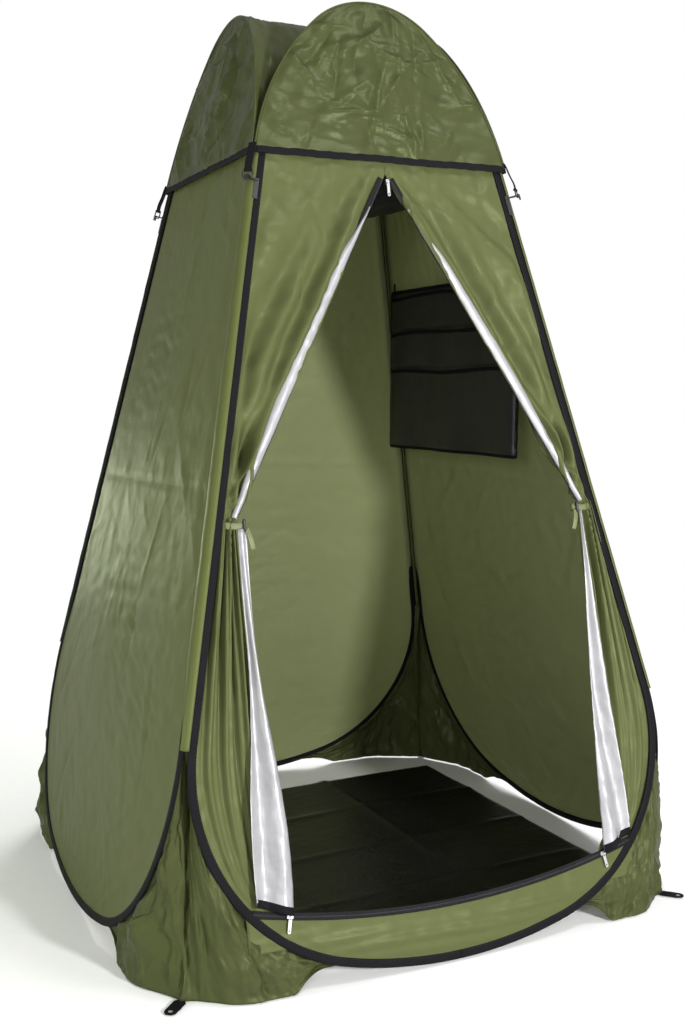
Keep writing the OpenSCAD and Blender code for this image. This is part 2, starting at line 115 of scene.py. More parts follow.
def half_loop(off, fine=1):
    """Points (u, v) from the loop's lowest point up its right side to its highest, moved out by off."""
    low = arc("corner", off, 2)[-1]
    high = arc("arch", off, 2)[0]
    side = np.linspace(low, high, 70 * fine)
    return np.concatenate(
        [
            arc("bottom", off, 18 * fine)[:-1],
            arc("corner", off, 44 * fine)[:-1],
            side[:-1],
            arc("arch", off, 26 * fine)[:-1],
            arc("top", off, 16 * fine),
        ]
    )


def full_loop(off, fine=2):
    half = half_loop(off, fine)
    return np.concatenate([half, (half * [-1, 1])[-2:0:-1]])


def half_width(v, off):
    path = half_loop(off)
    return np.interp(v, path[:, 1], path[:, 0])


def half_at(v):
    """Half the distance between the corner edges at height v along a panel."""
    return BASE - v * math.tan(PHI)


def spin(i):
    a = i * math.pi / 2
    return np.array([[math.cos(a), -math.sin(a), 0], [math.sin(a), math.cos(a), 0], [0, 0, 1]])


def panel_axes(i):
    turn = spin(i)
    u = turn @ [1, 0, 0]
    v = turn @ [0, math.sin(LEAN), math.cos(LEAN)]
    n = turn @ [0, -math.cos(LEAN), math.sin(LEAN)]
    return turn @ [0, -BASE, 0] + PLANE * n, u, v, n


def on_panel(i, u, v, n=0.0):
    """World points of panel coordinates, which may be arrays of one shape."""
    origin, du, dv, dn = panel_axes(i)
    u, v, n = np.broadcast_arrays(u, v, n)
    return origin + u[..., None] * du + v[..., None] * dv + n[..., None] * dn


# ---- patterns ----
def waves(a, b, seed, count, short, long, sharp=0.0, heading=(0, math.pi)):
    """A sum of plane waves of random direction and phase; sharp folds their crests into creases."""
    rng = np.random.default_rng(seed)
    total = 0.0
    for _ in range(count):
        turn = rng.uniform(*heading)
        length = short * (long / short) ** rng.uniform()
        phase = rng.uniform(0, TAU)
        wave = np.sin((a * math.cos(turn) + b * math.sin(turn)) * TAU / length + phase)
        wave = (1 - sharp) * wave + sharp * (1 - 2 * np.abs(wave))
        total = total + wave * length / long
    return total / math.sqrt(count)


def rumple(a, b, seed, size, sharp=0.7):
    """Crumpled cloth: creases of about the given size, bent by a slower wave."""
    warp_a = a + 0.35 * size * waves(a, b, seed + 1, 4, 1.5 * size, 4 * size)
    warp_b = b + 0.35 * size * waves(a, b, seed + 2, 4, 1.5 * size, 4 * size)
    return waves(warp_a, warp_b, seed, 9, 0.35 * size, 1.6 * size, sharp)


def creases(a, b, seed, count, width, length):
    """Separate sharp creases scattered over a cloth, each short and slightly bent."""
    rng = np.random.default_rng(seed)
    total = 0.0
    for _ in range(count):
        at_a = rng.uniform(a.min(), a.max())
        at_b = rng.uniform(b.min(), b.max())
        turn = rng.uniform(0, math.pi)
        reach = length * rng.uniform(0.5, 1.5)
        along = (b - at_b) * math.cos(turn) - (a - at_a) * math.sin(turn)
        off = (a - at_a) * math.cos(turn) + (b - at_b) * math.sin(turn) + rng.uniform(-1.5, 1.5) * along**2
        size = rng.uniform(-1, 1)
        total = total + size * np.exp(-np.abs(off) / width) * np.exp(-((along / reach) ** 2))
    return total


def ease(t):
    t = np.clip(t, 0, 1)
    return t * t * (3 - 2 * t)


def bump(x, centre, width):
    return np.exp(-(((x - centre) / width) ** 2))


# ---- meshes ----
def new_object(name, points, faces, uv=None):
    mesh = bpy.data.meshes.new(name)
    mesh.from_pydata(points.tolist(), [], faces.tolist())
    mesh.polygons.foreach_set("use_smooth", [True] * len(mesh.polygons))
    if uv is not None:
        layer = mesh.uv_layers.new(name="cloth")
        corners = np.zeros(len(mesh.loops), int)
        mesh.loops.foreach_get("vertex_index", corners)
        layer.data.foreach_set("uv", uv[corners].astype(np.float32).ravel())
    mesh.validate()
    mesh.update()
    obj = bpy.data.objects.new(name, mesh)
    bpy.context.scene.collection.objects.link(obj)
    return obj


def grid_object(name, grid, ring_rows=False, ring_cols=False):
    """A sheet, tube or ring from a grid of points, with its UVs in metres."""
    rows, cols = grid.shape[:2]
    down = np.linalg.norm(np.diff(grid, axis=0), axis=2).mean(1)
    across = np.linalg.norm(np.diff(grid, axis=1), axis=2).mean(0)
    v = np.concatenate([[0], np.cumsum(down)])
    u = np.concatenate([[0], np.cumsum(across)])
    uv = np.stack(np.meshgrid(u, v), -1).reshape(-1, 2)
    index = np.arange(rows * cols).reshape(rows, cols)
    if ring_rows:
        index = np.vstack([index, index[:1]])
    if ring_cols:
        index = np.hstack([index, index[:, :1]])
    quads = np.stack([index[:-1, :-1], index[:-1, 1:], index[1:, 1:], index[1:, :-1]], -1)
    return new_object(name, grid.reshape(-1, 3), quads.reshape(-1, 4), uv)


def thicken(obj, thickness=0.0006):
    modifier = obj.modifiers.new("thickness", "SOLIDIFY")
    modifier.thickness = thickness
    modifier.offset = 0
    return obj


def finish_piece(obj, material, body, nodes=()):
    """Paints a piece, joins it to its body and hides the CAD nodes it stands for."""
    obj.data.materials.clear()
    obj.data.materials.append(material)
    if body:
        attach(obj, body)
    if nodes:
        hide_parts(*nodes)
    return obj


def sheet(name, grid, material, body, nodes=(), thickness=0.0006):
    return finish_piece(thicken(grid_object(name, grid), thickness), material, body, nodes)


def frames_along(path, closed=False):
    """Tangents of a path of points."""
    if closed:
        tangent = np.roll(path, -1, 0) - np.roll(path, 1, 0)
    else:
        tangent = np.gradient(path, axis=0)
    return tangent / np.linalg.norm(tangent, axis=1)[:, None]


def tube(name, path, width, height, out, closed=False, sides=10, square=0.75):
    """A tape or cord along a path: width across it, height along its outward direction."""
    tangent = frames_along(path, closed)
    out = np.broadcast_to(out, path.shape)
    side = np.cross(tangent, out)
    side = side / np.linalg.norm(side, axis=1)[:, None]
    a = np.arange(sides) * TAU / sides
    x = np.sign(np.cos(a)) * np.abs(np.cos(a)) ** square * width / 2
    y = np.sign(np.sin(a)) * np.abs(np.sin(a)) ** square * height / 2
    grid = path[:, None] + side[:, None] * x[:, None] + out[:, None] * y[:, None]
    obj = grid_object(name, grid, ring_rows=closed, ring_cols=True)
    if not closed:
        close_ends(obj, len(path), sides)
    return obj


def close_ends(obj, rows, cols):
    import bmesh

    shape = bmesh.new()
    shape.from_mesh(obj.data)
    shape.verts.ensure_lookup_table()
    shape.faces.new([shape.verts[i] for i in range(cols)])
    shape.faces.new([shape.verts[(rows - 1) * cols + i] for i in reversed(range(cols))])
    bmesh.ops.recalc_face_normals(shape, faces=shape.faces)
    shape.to_mesh(obj.data)
    shape.free()


def resample(path, step, closed=False):
    if closed:
        path = np.concatenate([path, path[:1]])
    reach = np.concatenate([[0], np.cumsum(np.linalg.norm(np.diff(path, axis=0), axis=1))])
    count = max(2, int(reach[-1] / step))
    at = np.linspace(0, reach[-1], count + 1)
    if closed:
        at = at[:-1]
    return np.stack([np.interp(at, reach, path[:, k]) for k in range(path.shape[1])], 1)


def stitches(name, path, out, material, body, pitch=0.006, length=0.004, radius=0.00045, closed=True):
    """A row of short threads lying on a surface."""
    middle = resample(path, pitch, closed)
    tangent = frames_along(middle, closed)
    out = np.broadcast_to(out, middle.shape)
    side = np.cross(tangent, out)
    ends = [middle - tangent * length / 2, middle + tangent * length / 2]
    ring = [middle + side * radius, middle + out * radius, middle - side * radius, middle - out * radius]
    points = np.stack([ends[0], *ring, ends[1]], 1).reshape(-1, 3)
    one = [[0, 2, 1], [0, 3, 2], [0, 4, 3], [0, 1, 4], [5, 1, 2], [5, 2, 3], [5, 3, 4], [5, 4, 1]]
    faces = (np.arange(len(middle))[:, None, None] * 6 + np.array(one)).reshape(-1, 3)
    return finish_piece(new_object(name, points, faces), material, body, ())


# ---- materials ----
class Shader:
    """A small helper that adds nodes to one material and links them."""

    def __init__(self, name):
        self.material = bpy.data.materials.new(name)
        self.material.use_nodes = True
        self.tree = self.material.node_tree
        self.tree.nodes.clear()

    def add(self, kind, inputs, **settings):
        node = self.tree.nodes.new(kind)
        for key, value in settings.items():
            setattr(node, key, value)
        for key, value in inputs.items():
            if isinstance(value, bpy.types.NodeSocket):
                self.tree.links.new(value, node.inputs[key])
            else:
                node.inputs[key].default_value = value
        return node

    def math(self, operation, a, b=0.0):
        return self.add("ShaderNodeMath", {0: a, 1: b}, operation=operation).outputs[0]

    def mix(self, factor, a, b):
        node = self.add("ShaderNodeMix", {0: factor, 6: a, 7: b}, data_type="RGBA")
        return node.outputs[2]

    def coords(self, source="UV", scale=(1, 1, 1)):
        out = self.add("ShaderNodeTexCoord", {}).outputs[source]
        return self.add("ShaderNodeMapping", {"Vector": out, "Scale": scale}).outputs[0]

    def noise(self, scale, detail=3.0, vector=None, ridged=False, roughness=0.5):
        vector = vector or self.coords()
        kind = "RIDGED_MULTIFRACTAL" if ridged else "FBM"
        return self.add(
            "ShaderNodeTexNoise",
            {"Vector": vector, "Scale": scale, "Detail": detail, "Roughness": roughness},
            noise_type=kind,
            normalize=not ridged,
        ).outputs[0]

    def stripes(self, period, vector, direction="X"):
        return self.add(
            "ShaderNodeTexWave",
            {"Vector": vector, "Scale": 1 / (math.pi * period) * 0.5, "Distortion": 0.0},
            bands_direction=direction,
        ).outputs["Fac"]

    def height(self, parts):
        """Adds heights given as (socket, metres) pairs."""
        total = None
        for socket, size in parts:
            term = self.math("MULTIPLY", socket, size)
            total = term if total is None else self.math("ADD", total, term)
        return self.add("ShaderNodeBump", {"Height": total, "Distance": 1.0, "Strength": 1.0}).outputs[0]

    def output(self, surface):
        self.add("ShaderNodeOutputMaterial", {"Surface": surface})
        return self.material


def rgb(r, g, b):
    return (r, g, b, 1.0)


def cloth_material(name, dark, light, rough=0.45, crinkle=0.0016, size=16.0, glow=0.30, streak=0.0004, contrast=0.5):
    """Thin coated taffeta: fine weave, faint creases whose lines are painted lighter, partly the coating's own
    whitening and partly painted sheen, and light that shows through.
    """
    s = Shader(name)
    flat = s.coords()
    cloud = s.noise(3.0, 4.0)
    fine = s.noise(90.0, 2.0)
    weave = s.math("MULTIPLY", s.stripes(0.0016, flat, "X"), s.stripes(0.0016, flat, "Y"))
    tone = s.math("ADD", s.math("MULTIPLY", cloud, 0.8), s.math("MULTIPLY", fine, 0.2))
    tone = s.math("SUBTRACT", tone, s.math("MULTIPLY", weave, 0.10))
    ridges = s.noise(size, 5.0, ridged=True, roughness=0.6)
    slow = s.noise(size * 0.35, 3.0)
    # Painted sheen on creases: the ridge lines are painted lighter and the rest a little darker, partly the coating's
    # own whitening at creases; contrast sets its strength.
    worn_and_sheen_lines = s.math("MULTIPLY", s.math("SUBTRACT", ridges, 0.9), contrast)
    tone = s.math("ADD", tone, worn_and_sheen_lines)
    colour = s.mix(tone, rgb(*dark), rgb(*light))
    streaks = s.noise(30.0, 2.0, vector=s.coords(scale=(1.0, 0.12, 1.0)))
    normal = s.height([(ridges, crinkle), (slow, crinkle * 3), (streaks, streak), (weave, 0.00012)])
    worn = s.math("ADD", s.math("MULTIPLY", cloud, 0.12), rough - 0.06)
    front = s.add(
        "ShaderNodeBsdfPrincipled",
        {
            "Base Color": colour,
            "Roughness": worn,
            "Normal": normal,
            "IOR": 1.30,
            "Specular Tint": rgb(0.80, 0.90, 0.52),
        },
    )
    through = s.add("ShaderNodeBsdfTranslucent", {"Color": colour, "Normal": normal})
    both = s.add("ShaderNodeMixShader", {0: glow, 1: front.outputs[0], 2: through.outputs[0]})
    return s.output(both.outputs[0])


def tape_material(name, base, rough=0.62, period=0.0022, depth=0.00025, gloss=0.4):
    """Woven tape or webbing: diagonal ribs and slight fading."""
    s = Shader(name)
    ribs = s.stripes(period, s.coords(), "DIAGONAL")
    cross = s.stripes(period * 0.8, s.coords(), "X")
    cloud = s.noise(25.0, 4.0)
    tone = s.math("ADD", s.math("MULTIPLY", cloud, 0.6), s.math("MULTIPLY", ribs, 0.4))
    colour = s.mix(tone, rgb(*[c * 0.6 for c in base]), rgb(*[min(1, c * 1.7) for c in base]))
    normal = s.height([(ribs, depth), (cross, depth * 0.6), (cloud, 0.0006)])
    body = s.add(
        "ShaderNodeBsdfPrincipled",
        {"Base Color": colour, "Roughness": rough, "Normal": normal, "Specular IOR Level": gloss},
    )
    return s.output(body.outputs[0])


def net_material(name, base, see_through):
    """Fine net: a grid of threads with gaps that let some light through."""
    s = Shader(name)
    flat = s.coords()
    threads = s.math("MAXIMUM", s.stripes(0.0018, flat, "X"), s.stripes(0.0018, flat, "Y"))
    cloud = s.noise(12.0, 3.0)
    colour = s.mix(cloud, rgb(*[c * 0.6 for c in base]), rgb(*[c * 1.6 for c in base]))
    normal = s.height([(threads, 0.0003), (cloud, 0.002)])
    body = s.add(
        "ShaderNodeBsdfPrincipled",
        {"Base Color": colour, "Roughness": 0.5, "Normal": normal, "Specular IOR Level": 0.5},
    )
    clear = s.add("ShaderNodeBsdfTransparent", {})
    share = s.math("MULTIPLY", s.math("SUBTRACT", 1.0, threads), see_through)
    both = s.add("ShaderNodeMixShader", {0: share, 1: body.outputs[0], 2: clear.outputs[0]})
    return s.output(both.outputs[0])


def lining_material(name):
    """Silver-coated lining: a soft metallic sheen over crisp creases."""
    s = Shader(name)
    cloud = s.noise(9.0, 4.0)
    creases = s.noise(26.0, 4.0, ridged=True)
    weave = s.math("MULTIPLY", s.stripes(0.0014, s.coords(), "X"), s.stripes(0.0014, s.coords(), "Y"))
    colour = s.mix(cloud, rgb(0.19, 0.19, 0.20), rgb(0.44, 0.44, 0.45))
    normal = s.height([(creases, 0.0014), (cloud, 0.004), (weave, 0.0001)])
    body = s.add(
        "ShaderNodeBsdfPrincipled",
        {"Base Color": colour, "Metallic": 0.35, "Roughness": 0.42, "Normal": normal},
    )
    return s.output(body.outputs[0])


def mat_material(name):
    """Coated black groundsheet: glossy, with a net of tiny ridges."""
    s = Shader(name)
    ridges = s.noise(60.0, 5.0, ridged=True)
    cloud = s.noise(5.0, 4.0)
    ribs = s.stripes(0.004, s.coords(), "DIAGONAL")
    colour = s.mix(cloud, rgb(0.002, 0.002, 0.0025), rgb(0.008, 0.008, 0.009))
    normal = s.height([(ridges, 0.0009), (cloud, 0.004), (ribs, 0.0001)])
    worn = s.math("ADD", s.math("MULTIPLY", cloud, 0.25), 0.22)
    body = s.add("ShaderNodeBsdfPrincipled", {"Base Color": colour, "Roughness": worn, "Normal": normal, "Specular IOR Level": 0.3})
    return s.output(body.outputs[0])


def metal_material(name, base, rough):
    s = Shader(name)
    here = s.coords("Object")
    scratches = s.noise(900.0, 2.0, vector=s.coords("Object", (1.0, 0.15, 1.0)))
    wear = s.noise(160.0, 4.0, vector=here)
    colour = s.mix(wear, rgb(*[c * 0.75 for c in base]), rgb(*base))
    worn = s.math("ADD", s.math("MULTIPLY", scratches, 0.25), rough)
    normal = s.height([(scratches, 0.00004), (wear, 0.0001)])
    body = s.add(
        "ShaderNodeBsdfPrincipled",
        {"Base Color": colour, "Metallic": 1.0, "Roughness": worn, "Normal": normal},
    )
    return s.output(body.outputs[0])


def plastic_material(name, base):
    s = Shader(name)
    here = s.coords("Object")
    grain = s.noise(1400.0, 3.0, vector=here)
    wear = s.noise(120.0, 3.0, vector=here)
    colour = s.mix(wear, rgb(*[c * 0.7 for c in base]), rgb(*[c * 1.5 for c in base]))
    normal = s.height([(grain, 0.00006)])
    body = s.add(
        "ShaderNodeBsdfPrincipled",
        {"Base Color": colour, "Roughness": s.math("ADD", s.math("MULTIPLY", wear, 0.2), 0.35), "Normal": normal},
    )
    return s.output(body.outputs[0])


# contrast sets how strongly each cloth's crease lines are painted lighter, partly as painted sheen.
OLIVE = cloth_material("olive_cloth", (0.096, 0.111, 0.036), (0.155, 0.177, 0.066), crinkle=0.0030, contrast=1.0)
CURTAIN = cloth_material(
    "olive_curtain", (0.096, 0.110, 0.042), (0.160, 0.178, 0.080), rough=0.40, crinkle=0.0055, contrast=1.5
)
GUSSET = cloth_material(
    "olive_gusset", (0.062, 0.072, 0.026), (0.140, 0.158, 0.064), rough=0.38, crinkle=0.0080, size=18.0, contrast=1.9
)
HOOD_CLOTH = cloth_material(
    "hood_cloth", (0.060, 0.070, 0.026), (0.160, 0.178, 0.078), rough=0.36, crinkle=0.0150, size=13.0, contrast=2.4
)
LINING = lining_material("silver_lining")
# Right and back walls: the olive cloth painted much lighter, painted light standing in for the light that reaches the
# tent's inside through the door and through the cloth.
PAINTED_BACKLIGHT_CLOTH = cloth_material(
    "olive_backlit", (0.270, 0.296, 0.150), (0.430, 0.465, 0.250), glow=0.40, crinkle=0.0045, contrast=1.3)
TAPE = tape_material("black_tape", (0.004, 0.004, 0.005), rough=0.75, gloss=0.10)
ZIP_TAPE = tape_material("zip_tape", (0.005, 0.005, 0.006), rough=0.7, period=0.0014, gloss=0.15)
GREEN_TAPE = tape_material("green_tape", (0.090, 0.102, 0.040), rough=0.5, period=0.0018)
THREAD = tape_material("thread", (0.030, 0.030, 0.032), period=0.0009)
NET = net_material("black_net", (0.014, 0.014, 0.015), 0.55)
POCKET = net_material("pocket_net", (0.010, 0.010, 0.011), 0.12)
MAT = mat_material("mat_cloth")
STEEL = metal_material("spring_steel", (0.55, 0.56, 0.58), 0.30)
ZIP_METAL = metal_material("zip_metal", (0.80, 0.81, 0.83), 0.16)
TEETH = plastic_material("zip_teeth", (0.020, 0.020, 0.022))
PLASTIC = plastic_material("black_plastic", (0.007, 0.007, 0.008))


# ---- loops: binding and stitching ----
def build_binding(i):
    name, body = PANEL_NAMES[i], PANEL_NAMES[i] + "_panel"
    sides = 14
    a = np.arange(sides) * TAU / sides
    offs = np.sign(np.cos(a)) * np.abs(np.cos(a)) ** 0.8 * BIND_LOOK / 2
    ns = np.sign(np.sin(a)) * np.abs(np.sin(a)) ** 0.7 * 0.0034
    rings = np.stack([full_loop(off) for off in offs], 1)
    reach = np.cumsum(np.linalg.norm(np.diff(rings[:, 0], axis=0, prepend=rings[:1, 0]), axis=1))
    puff = 1 + 0.14 * waves(reach, 0 * reach, 40 + i, 6, 0.03, 0.12, heading=(0, 0.01))
    grid = on_panel(i, rings[..., 0], rings[..., 1], ns[None, :] * puff[:, None])
    obj = grid_object(name + "_loop_binding", grid, ring_rows=True, ring_cols=True)
    finish_piece(obj, TAPE, body, [name + "_binding"])
    seam = full_loop(-0.0062)
    stitches(
        name + "_binding_stitches",
        on_panel(i, seam[:, 0], seam[:, 1], 0.0029),
        panel_axes(i)[3],
        THREAD,
        body,
    )


# ---- wall sheets ----
def loop_rows(off, v_stop, step):
    """Rows (u, v) of a sheet that fills a loop from its foot to v_stop."""
    path = half_loop(off, 3)
    path = resample(path[path[:, 1] < v_stop], step)
    return np.concatenate([path[1:], [[half_width(v_stop, off), v_stop]]])


def build_wall(i):
    name = PANEL_NAMES[i]
    edge = loop_rows(-0.004, RING_V + 0.004, 0.009)
    cover = ease((edge[:, 1:] - 0.50) / 0.15)
    s = np.linspace(-1, 1, 130)
    u = (edge[:, :1] + 0.009 * cover) * s
    v = edge[:, 1:] + 0 * s
    h = np.clip(v / RING_V, 0, 1)
    inset = edge[:, :1] * (1 - np.abs(s))
    rim = ease((inset - 0.012) / 0.05) * ease((v - 0.012) / 0.10) * ease((RING_V + 0.002 - v) / 0.02)
    belly = 0.012 * (1 - s**2) * np.sin(math.pi * h)
    tall = 0.0009 * waves(u, v * 0.10, 60 + i, 7, 0.06, 0.20)
    hem = 0.0022 * waves(u, v * 0.05, 65 + i, 6, 0.018, 0.05) * bump(v, RING_V, 0.09)
    bunch = bump(v + 0.4 * u, 0.62, 0.16) * bump(u, 0.14, 0.22) + bump(v - 0.3 * u, 1.25, 0.12) * bump(u, -0.08, 0.14)
    wrinkles = 0.0052 * waves(u + 0.25 * v, v, 72 + i, 8, 0.03, 0.09, 0.5, (0.9, 1.7)) * bunch
    level = -0.0028 * bump(v, 0.93 + 0.006 * np.sin(5 * u), 0.006)
    small = 0.0010 * rumple(u, v, 70 + i, 0.12) + 0.0036 * creases(u, v, 75 + i, 110, 0.007, 0.09)
    tuck = -0.0042 * cover * (1 - ease((inset - 0.012) / 0.02))
    grid = on_panel(i, u, v, (belly + tall + hem + wrinkles + level + small) * rim + tuck)
    # The right and back walls take the cloth painted lighter as painted light; the left wall keeps the plain olive.
    cloth = OLIVE if i == LEFT else PAINTED_BACKLIGHT_CLOTH
    sheet(name + "_wall_cloth", grid, cloth, name + "_panel", [name + "_wall"])


def build_arch_net(i):
    name = PANEL_NAMES[i]
    path = half_loop(-0.004, 2)
    path = resample(path[path[:, 1] > RING_V], 0.016)
    s = np.linspace(-1, 1, 30)
    u, v = path[:, :1] * s, path[:, 1:] + 0 * s
    grid = on_panel(i, u, v, 0.002 * waves(u, v, 80 + i, 5, 0.08, 0.2) * (1 - s**2))
    sheet(name + "_vent_net", grid, NET, name + "_panel", [name + "_arch_net"])


for panel in (FRONT, RIGHT, BACK, LEFT):
    build_binding(panel)
    build_arch_net(panel)
    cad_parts[PANEL_NAMES[panel] + "_wire"].data.materials.clear()
    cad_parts[PANEL_NAMES[panel] + "_wire"].data.materials.append(STEEL)
for panel in (RIGHT, BACK, LEFT):
    build_wall(panel)


# ---- front: sill, curtains, zips, lining, tails ----
def free_edge(v):
    """Sideways place of the door's free edge at height v, above the tie-back."""
    return np.where(v < DOOR_TOP, TIE_X * (DOOR_TOP - v) / (DOOR_TOP - TIE_V), 0.0)


def sill_line(u):
    return SILL_V + SILL_R - np.sqrt(SILL_R**2 - u**2)


def build_sill():
    u_end = 0.436
    u = np.linspace(-u_end, u_end, 110)
    path = half_loop(-0.004, 3)
    low = np.interp(np.abs(u), path[:80, 0], path[:80, 1])
    high = np.maximum(sill_line(u), low + 0.0005)
    t = np.linspace(0, 1, 22)[:, None]
    v = low + (high - low) * t
    pull = 0.0018 * np.sin(v * 240 + 1.5 * np.sin(u * 9)) * np.cos(u * 3.2) * np.sin(math.pi * t)
    clear = 1 - 0.85 * ease((v - high + 0.048) / 0.030)
    slack = 0.006 * np.sin(math.pi * t) * (1 - (u / u_end) ** 2) + 0.0025 * waves(u * 0.35, v, 91, 6, 0.03, 0.1, 0.4) * t
    grid = on_panel(FRONT, u + 0 * t, v, (pull + slack) * clear * ease((1 - np.abs(u) / u_end) / 0.1))
    sheet("front_sill_cloth", grid, CURTAIN, "front_panel", ["front_sill"])


ZONE = 0.019


def build_curtain_top(side):
    """From the tie-back up to the ring, with a narrow strip of finer columns beside the free edge."""
    v = np.concatenate([np.linspace(TIE_V - 0.004, 1.45, 64), np.linspace(1.457, RING_V + 0.004, 24)])[:, None]
    outer = half_width(v, 0.0)
    inner = free_edge(v)
    zone = np.minimum(ZONE / math.cos(FREE_A), 0.9 * (outer - inner))
    near = np.linspace(0, 1, 14)
    far = np.linspace(0, 1, 38)[1:] ** 1.15
    u = np.concatenate([inner + zone * near, inner + zone + (outer - inner - zone) * far], 1)
    v = v + 0 * u
    s = (outer - u) / (outer - inner)
    reach = np.hypot(u - TIE_X, v - TIE_V)
    turn = np.arctan2(TIE_X - u, v - TIE_V + 0.05)
    gather = 0.0140 * np.sin(turn * 27 + 0.6 + 2.2 * reach) * bump(reach, 0.15, 0.17)
    beside = (u - inner) * math.cos(FREE_A)
    narrow = 0.45 + 0.55 * ease((v - TIE_V) / 0.35)
    lane = (beside - 0.016) / narrow
    folds = np.sin(lane * TAU / (0.046 + 0.10 * np.clip(lane, 0, 0.2))) * np.exp(-((lane / 0.13) ** 2))
    roll = 0.0125 * folds * ease(lane / 0.010) * ease((DOOR_TOP - 0.04 - v) / 0.20) * ease((v - 0.90) / 0.10)
    from_top = np.arctan2(u, DOOR_TOP + 0.05 - v)
    drape = 0.0085 * np.sin(from_top * 15 + side + 1.2 * np.sin(6 * v)) * ease((v - 0.95) / 0.3)
    drape = drape * ease((RING_V - v) / 0.16) + 0.0035 * waves(u, v, 104 + side, 7, 0.05, 0.14, 0.5, (0.2, 1.2))
    small = 0.0018 * rumple(u, v, 100 + side, 0.10) + 0.0052 * creases(u, v, 106 + side, 80, 0.006, 0.08)
    hem_pucker = 0.0020 * waves(u, v * 0.05, 108 + side, 5, 0.016, 0.04) * bump(v, RING_V, 0.06)
    gather = gather + roll
    rim = ease((outer - u) / 0.03) * ease((RING_V + 0.002 - v) / 0.02)
    n = (gather + drape + small + hem_pucker) * rim - 0.0005
    grid = on_panel(FRONT, side * u, v, n)
    obj = thicken(grid_object(f"{'left' if side < 0 else 'right'}_curtain_upper", grid))
    word = "left" if side < 0 else "right"
    finish_piece(obj, CURTAIN, None, [word + "_curtain"])
    across = np.array([math.cos(FREE_A), math.sin(FREE_A)])
    top = np.array([0, DOOR_TOP])
    start = top + across * ZONE
    ends = [on_panel(FRONT, side * p[0], p[1], 0.0) for p in (start, top)]
    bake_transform(obj)


SWITCH_OUT, SWITCH_IN = 0.413, 0.392


def build_curtain_low(side):
    """The gathered lower part, pleated from the tie-back down to the sill."""
    word = "left" if side < 0 else "right"
    t = np.linspace(0, 1, 80)[:, None]
    v_out = 0.168 + (TIE_V + 0.030 - 0.168) * t
    v_in = 0.142 + (TIE_V + 0.030 - 0.142) * t
    outer = half_width(v_out, -0.001)
    foot = 0.345 + 0.040 * ease(t / 0.10) + 0.007 * ease((t - 0.4) / 0.6)
    edge = np.minimum(SWITCH_OUT, outer - 0.0006)
    turn = np.minimum(SWITCH_IN, edge - 0.004)
    inner = np.minimum(foot, turn - 0.003)
    a = np.linspace(0, 1, 30)[:-1]
    b = np.linspace(0, 1, 15)[:-1]
    c = np.linspace(0, 1, 9)
    u = np.concatenate([outer + (edge - outer) * a, edge + (turn - edge) * b, turn + (inner - turn) * c], 1)
    s = (outer - u) / (outer - inner)
    v = v_out + (v_in - v_out) * s
    depth = 0.0125 * ease((t + 0.05) / 0.75) * ease((1 - t) / 0.05) + 0.0015
    depth = depth * (0.45 + 0.55 * s ** 0.7)
    wander = 0.9 * np.sin(3 * t + side) + 0.5 * np.sin(7.3 * t + 2 * side)
    pleats = np.sin(TAU * 3.6 * s ** 0.8 + wander) + 0.50 * np.sin(TAU * 7.9 * s + 5 * t + wander)
    front = 1 - 0.75 * ease((0.410 - u) / 0.02)
    n = depth * (pleats + 0.45) * ease(s / 0.10) * front - 0.004 + 0.0012 * rumple(u, v, 120 + side, 0.07)
    n = np.where(s < 0.02, -0.001, n)
    grid = on_panel(FRONT, side * u, v, n)
    obj = thicken(grid_object(word + "_curtain_lower", grid))
    finish_piece(obj, CURTAIN, None, [word + "_curtain"])
    ends = [on_panel(FRONT, side * x, 0.5, 0.0) for x in (SWITCH_OUT, SWITCH_IN)]
    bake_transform(obj)


def along_free(side, reach, across, n):
    """World points beside the free edge: reach down it, across away from the opening."""
    u = reach * math.sin(FREE_A) + across * math.cos(FREE_A)
    v = DOOR_TOP - reach * math.cos(FREE_A) + across * math.sin(FREE_A)
    return on_panel(FRONT, side * u, v, n)


def teeth(name, path, out, material, body, nodes=()):
    """Zip coils: one small ridge every few millimetres across the tape's edge."""
    middle = resample(path, 0.0028)
    tangent = frames_along(middle)
    out = np.broadcast_to(out, middle.shape)
    side = np.cross(tangent, out)
    corners = [(x, y) for y in (-0.0008, 0.0008) for x in (-0.0016, 0.0016)]
    low = [middle + side * x + tangent * y for x, y in corners]
    high = [p * 1.0 + out * 0.0012 + (middle - p) * 0.35 for p in low]
    points = np.stack(low + high, 1).reshape(-1, 3)
    one = [[0, 1, 3, 2], [4, 6, 7, 5], [0, 4, 5, 1], [2, 3, 7, 6], [0, 2, 6, 4], [1, 5, 7, 3]]
    faces = (np.arange(len(middle))[:, None, None] * 8 + np.array(one)).reshape(-1, 4)
    return finish_piece(new_object(name, points, faces), material, body, nodes)


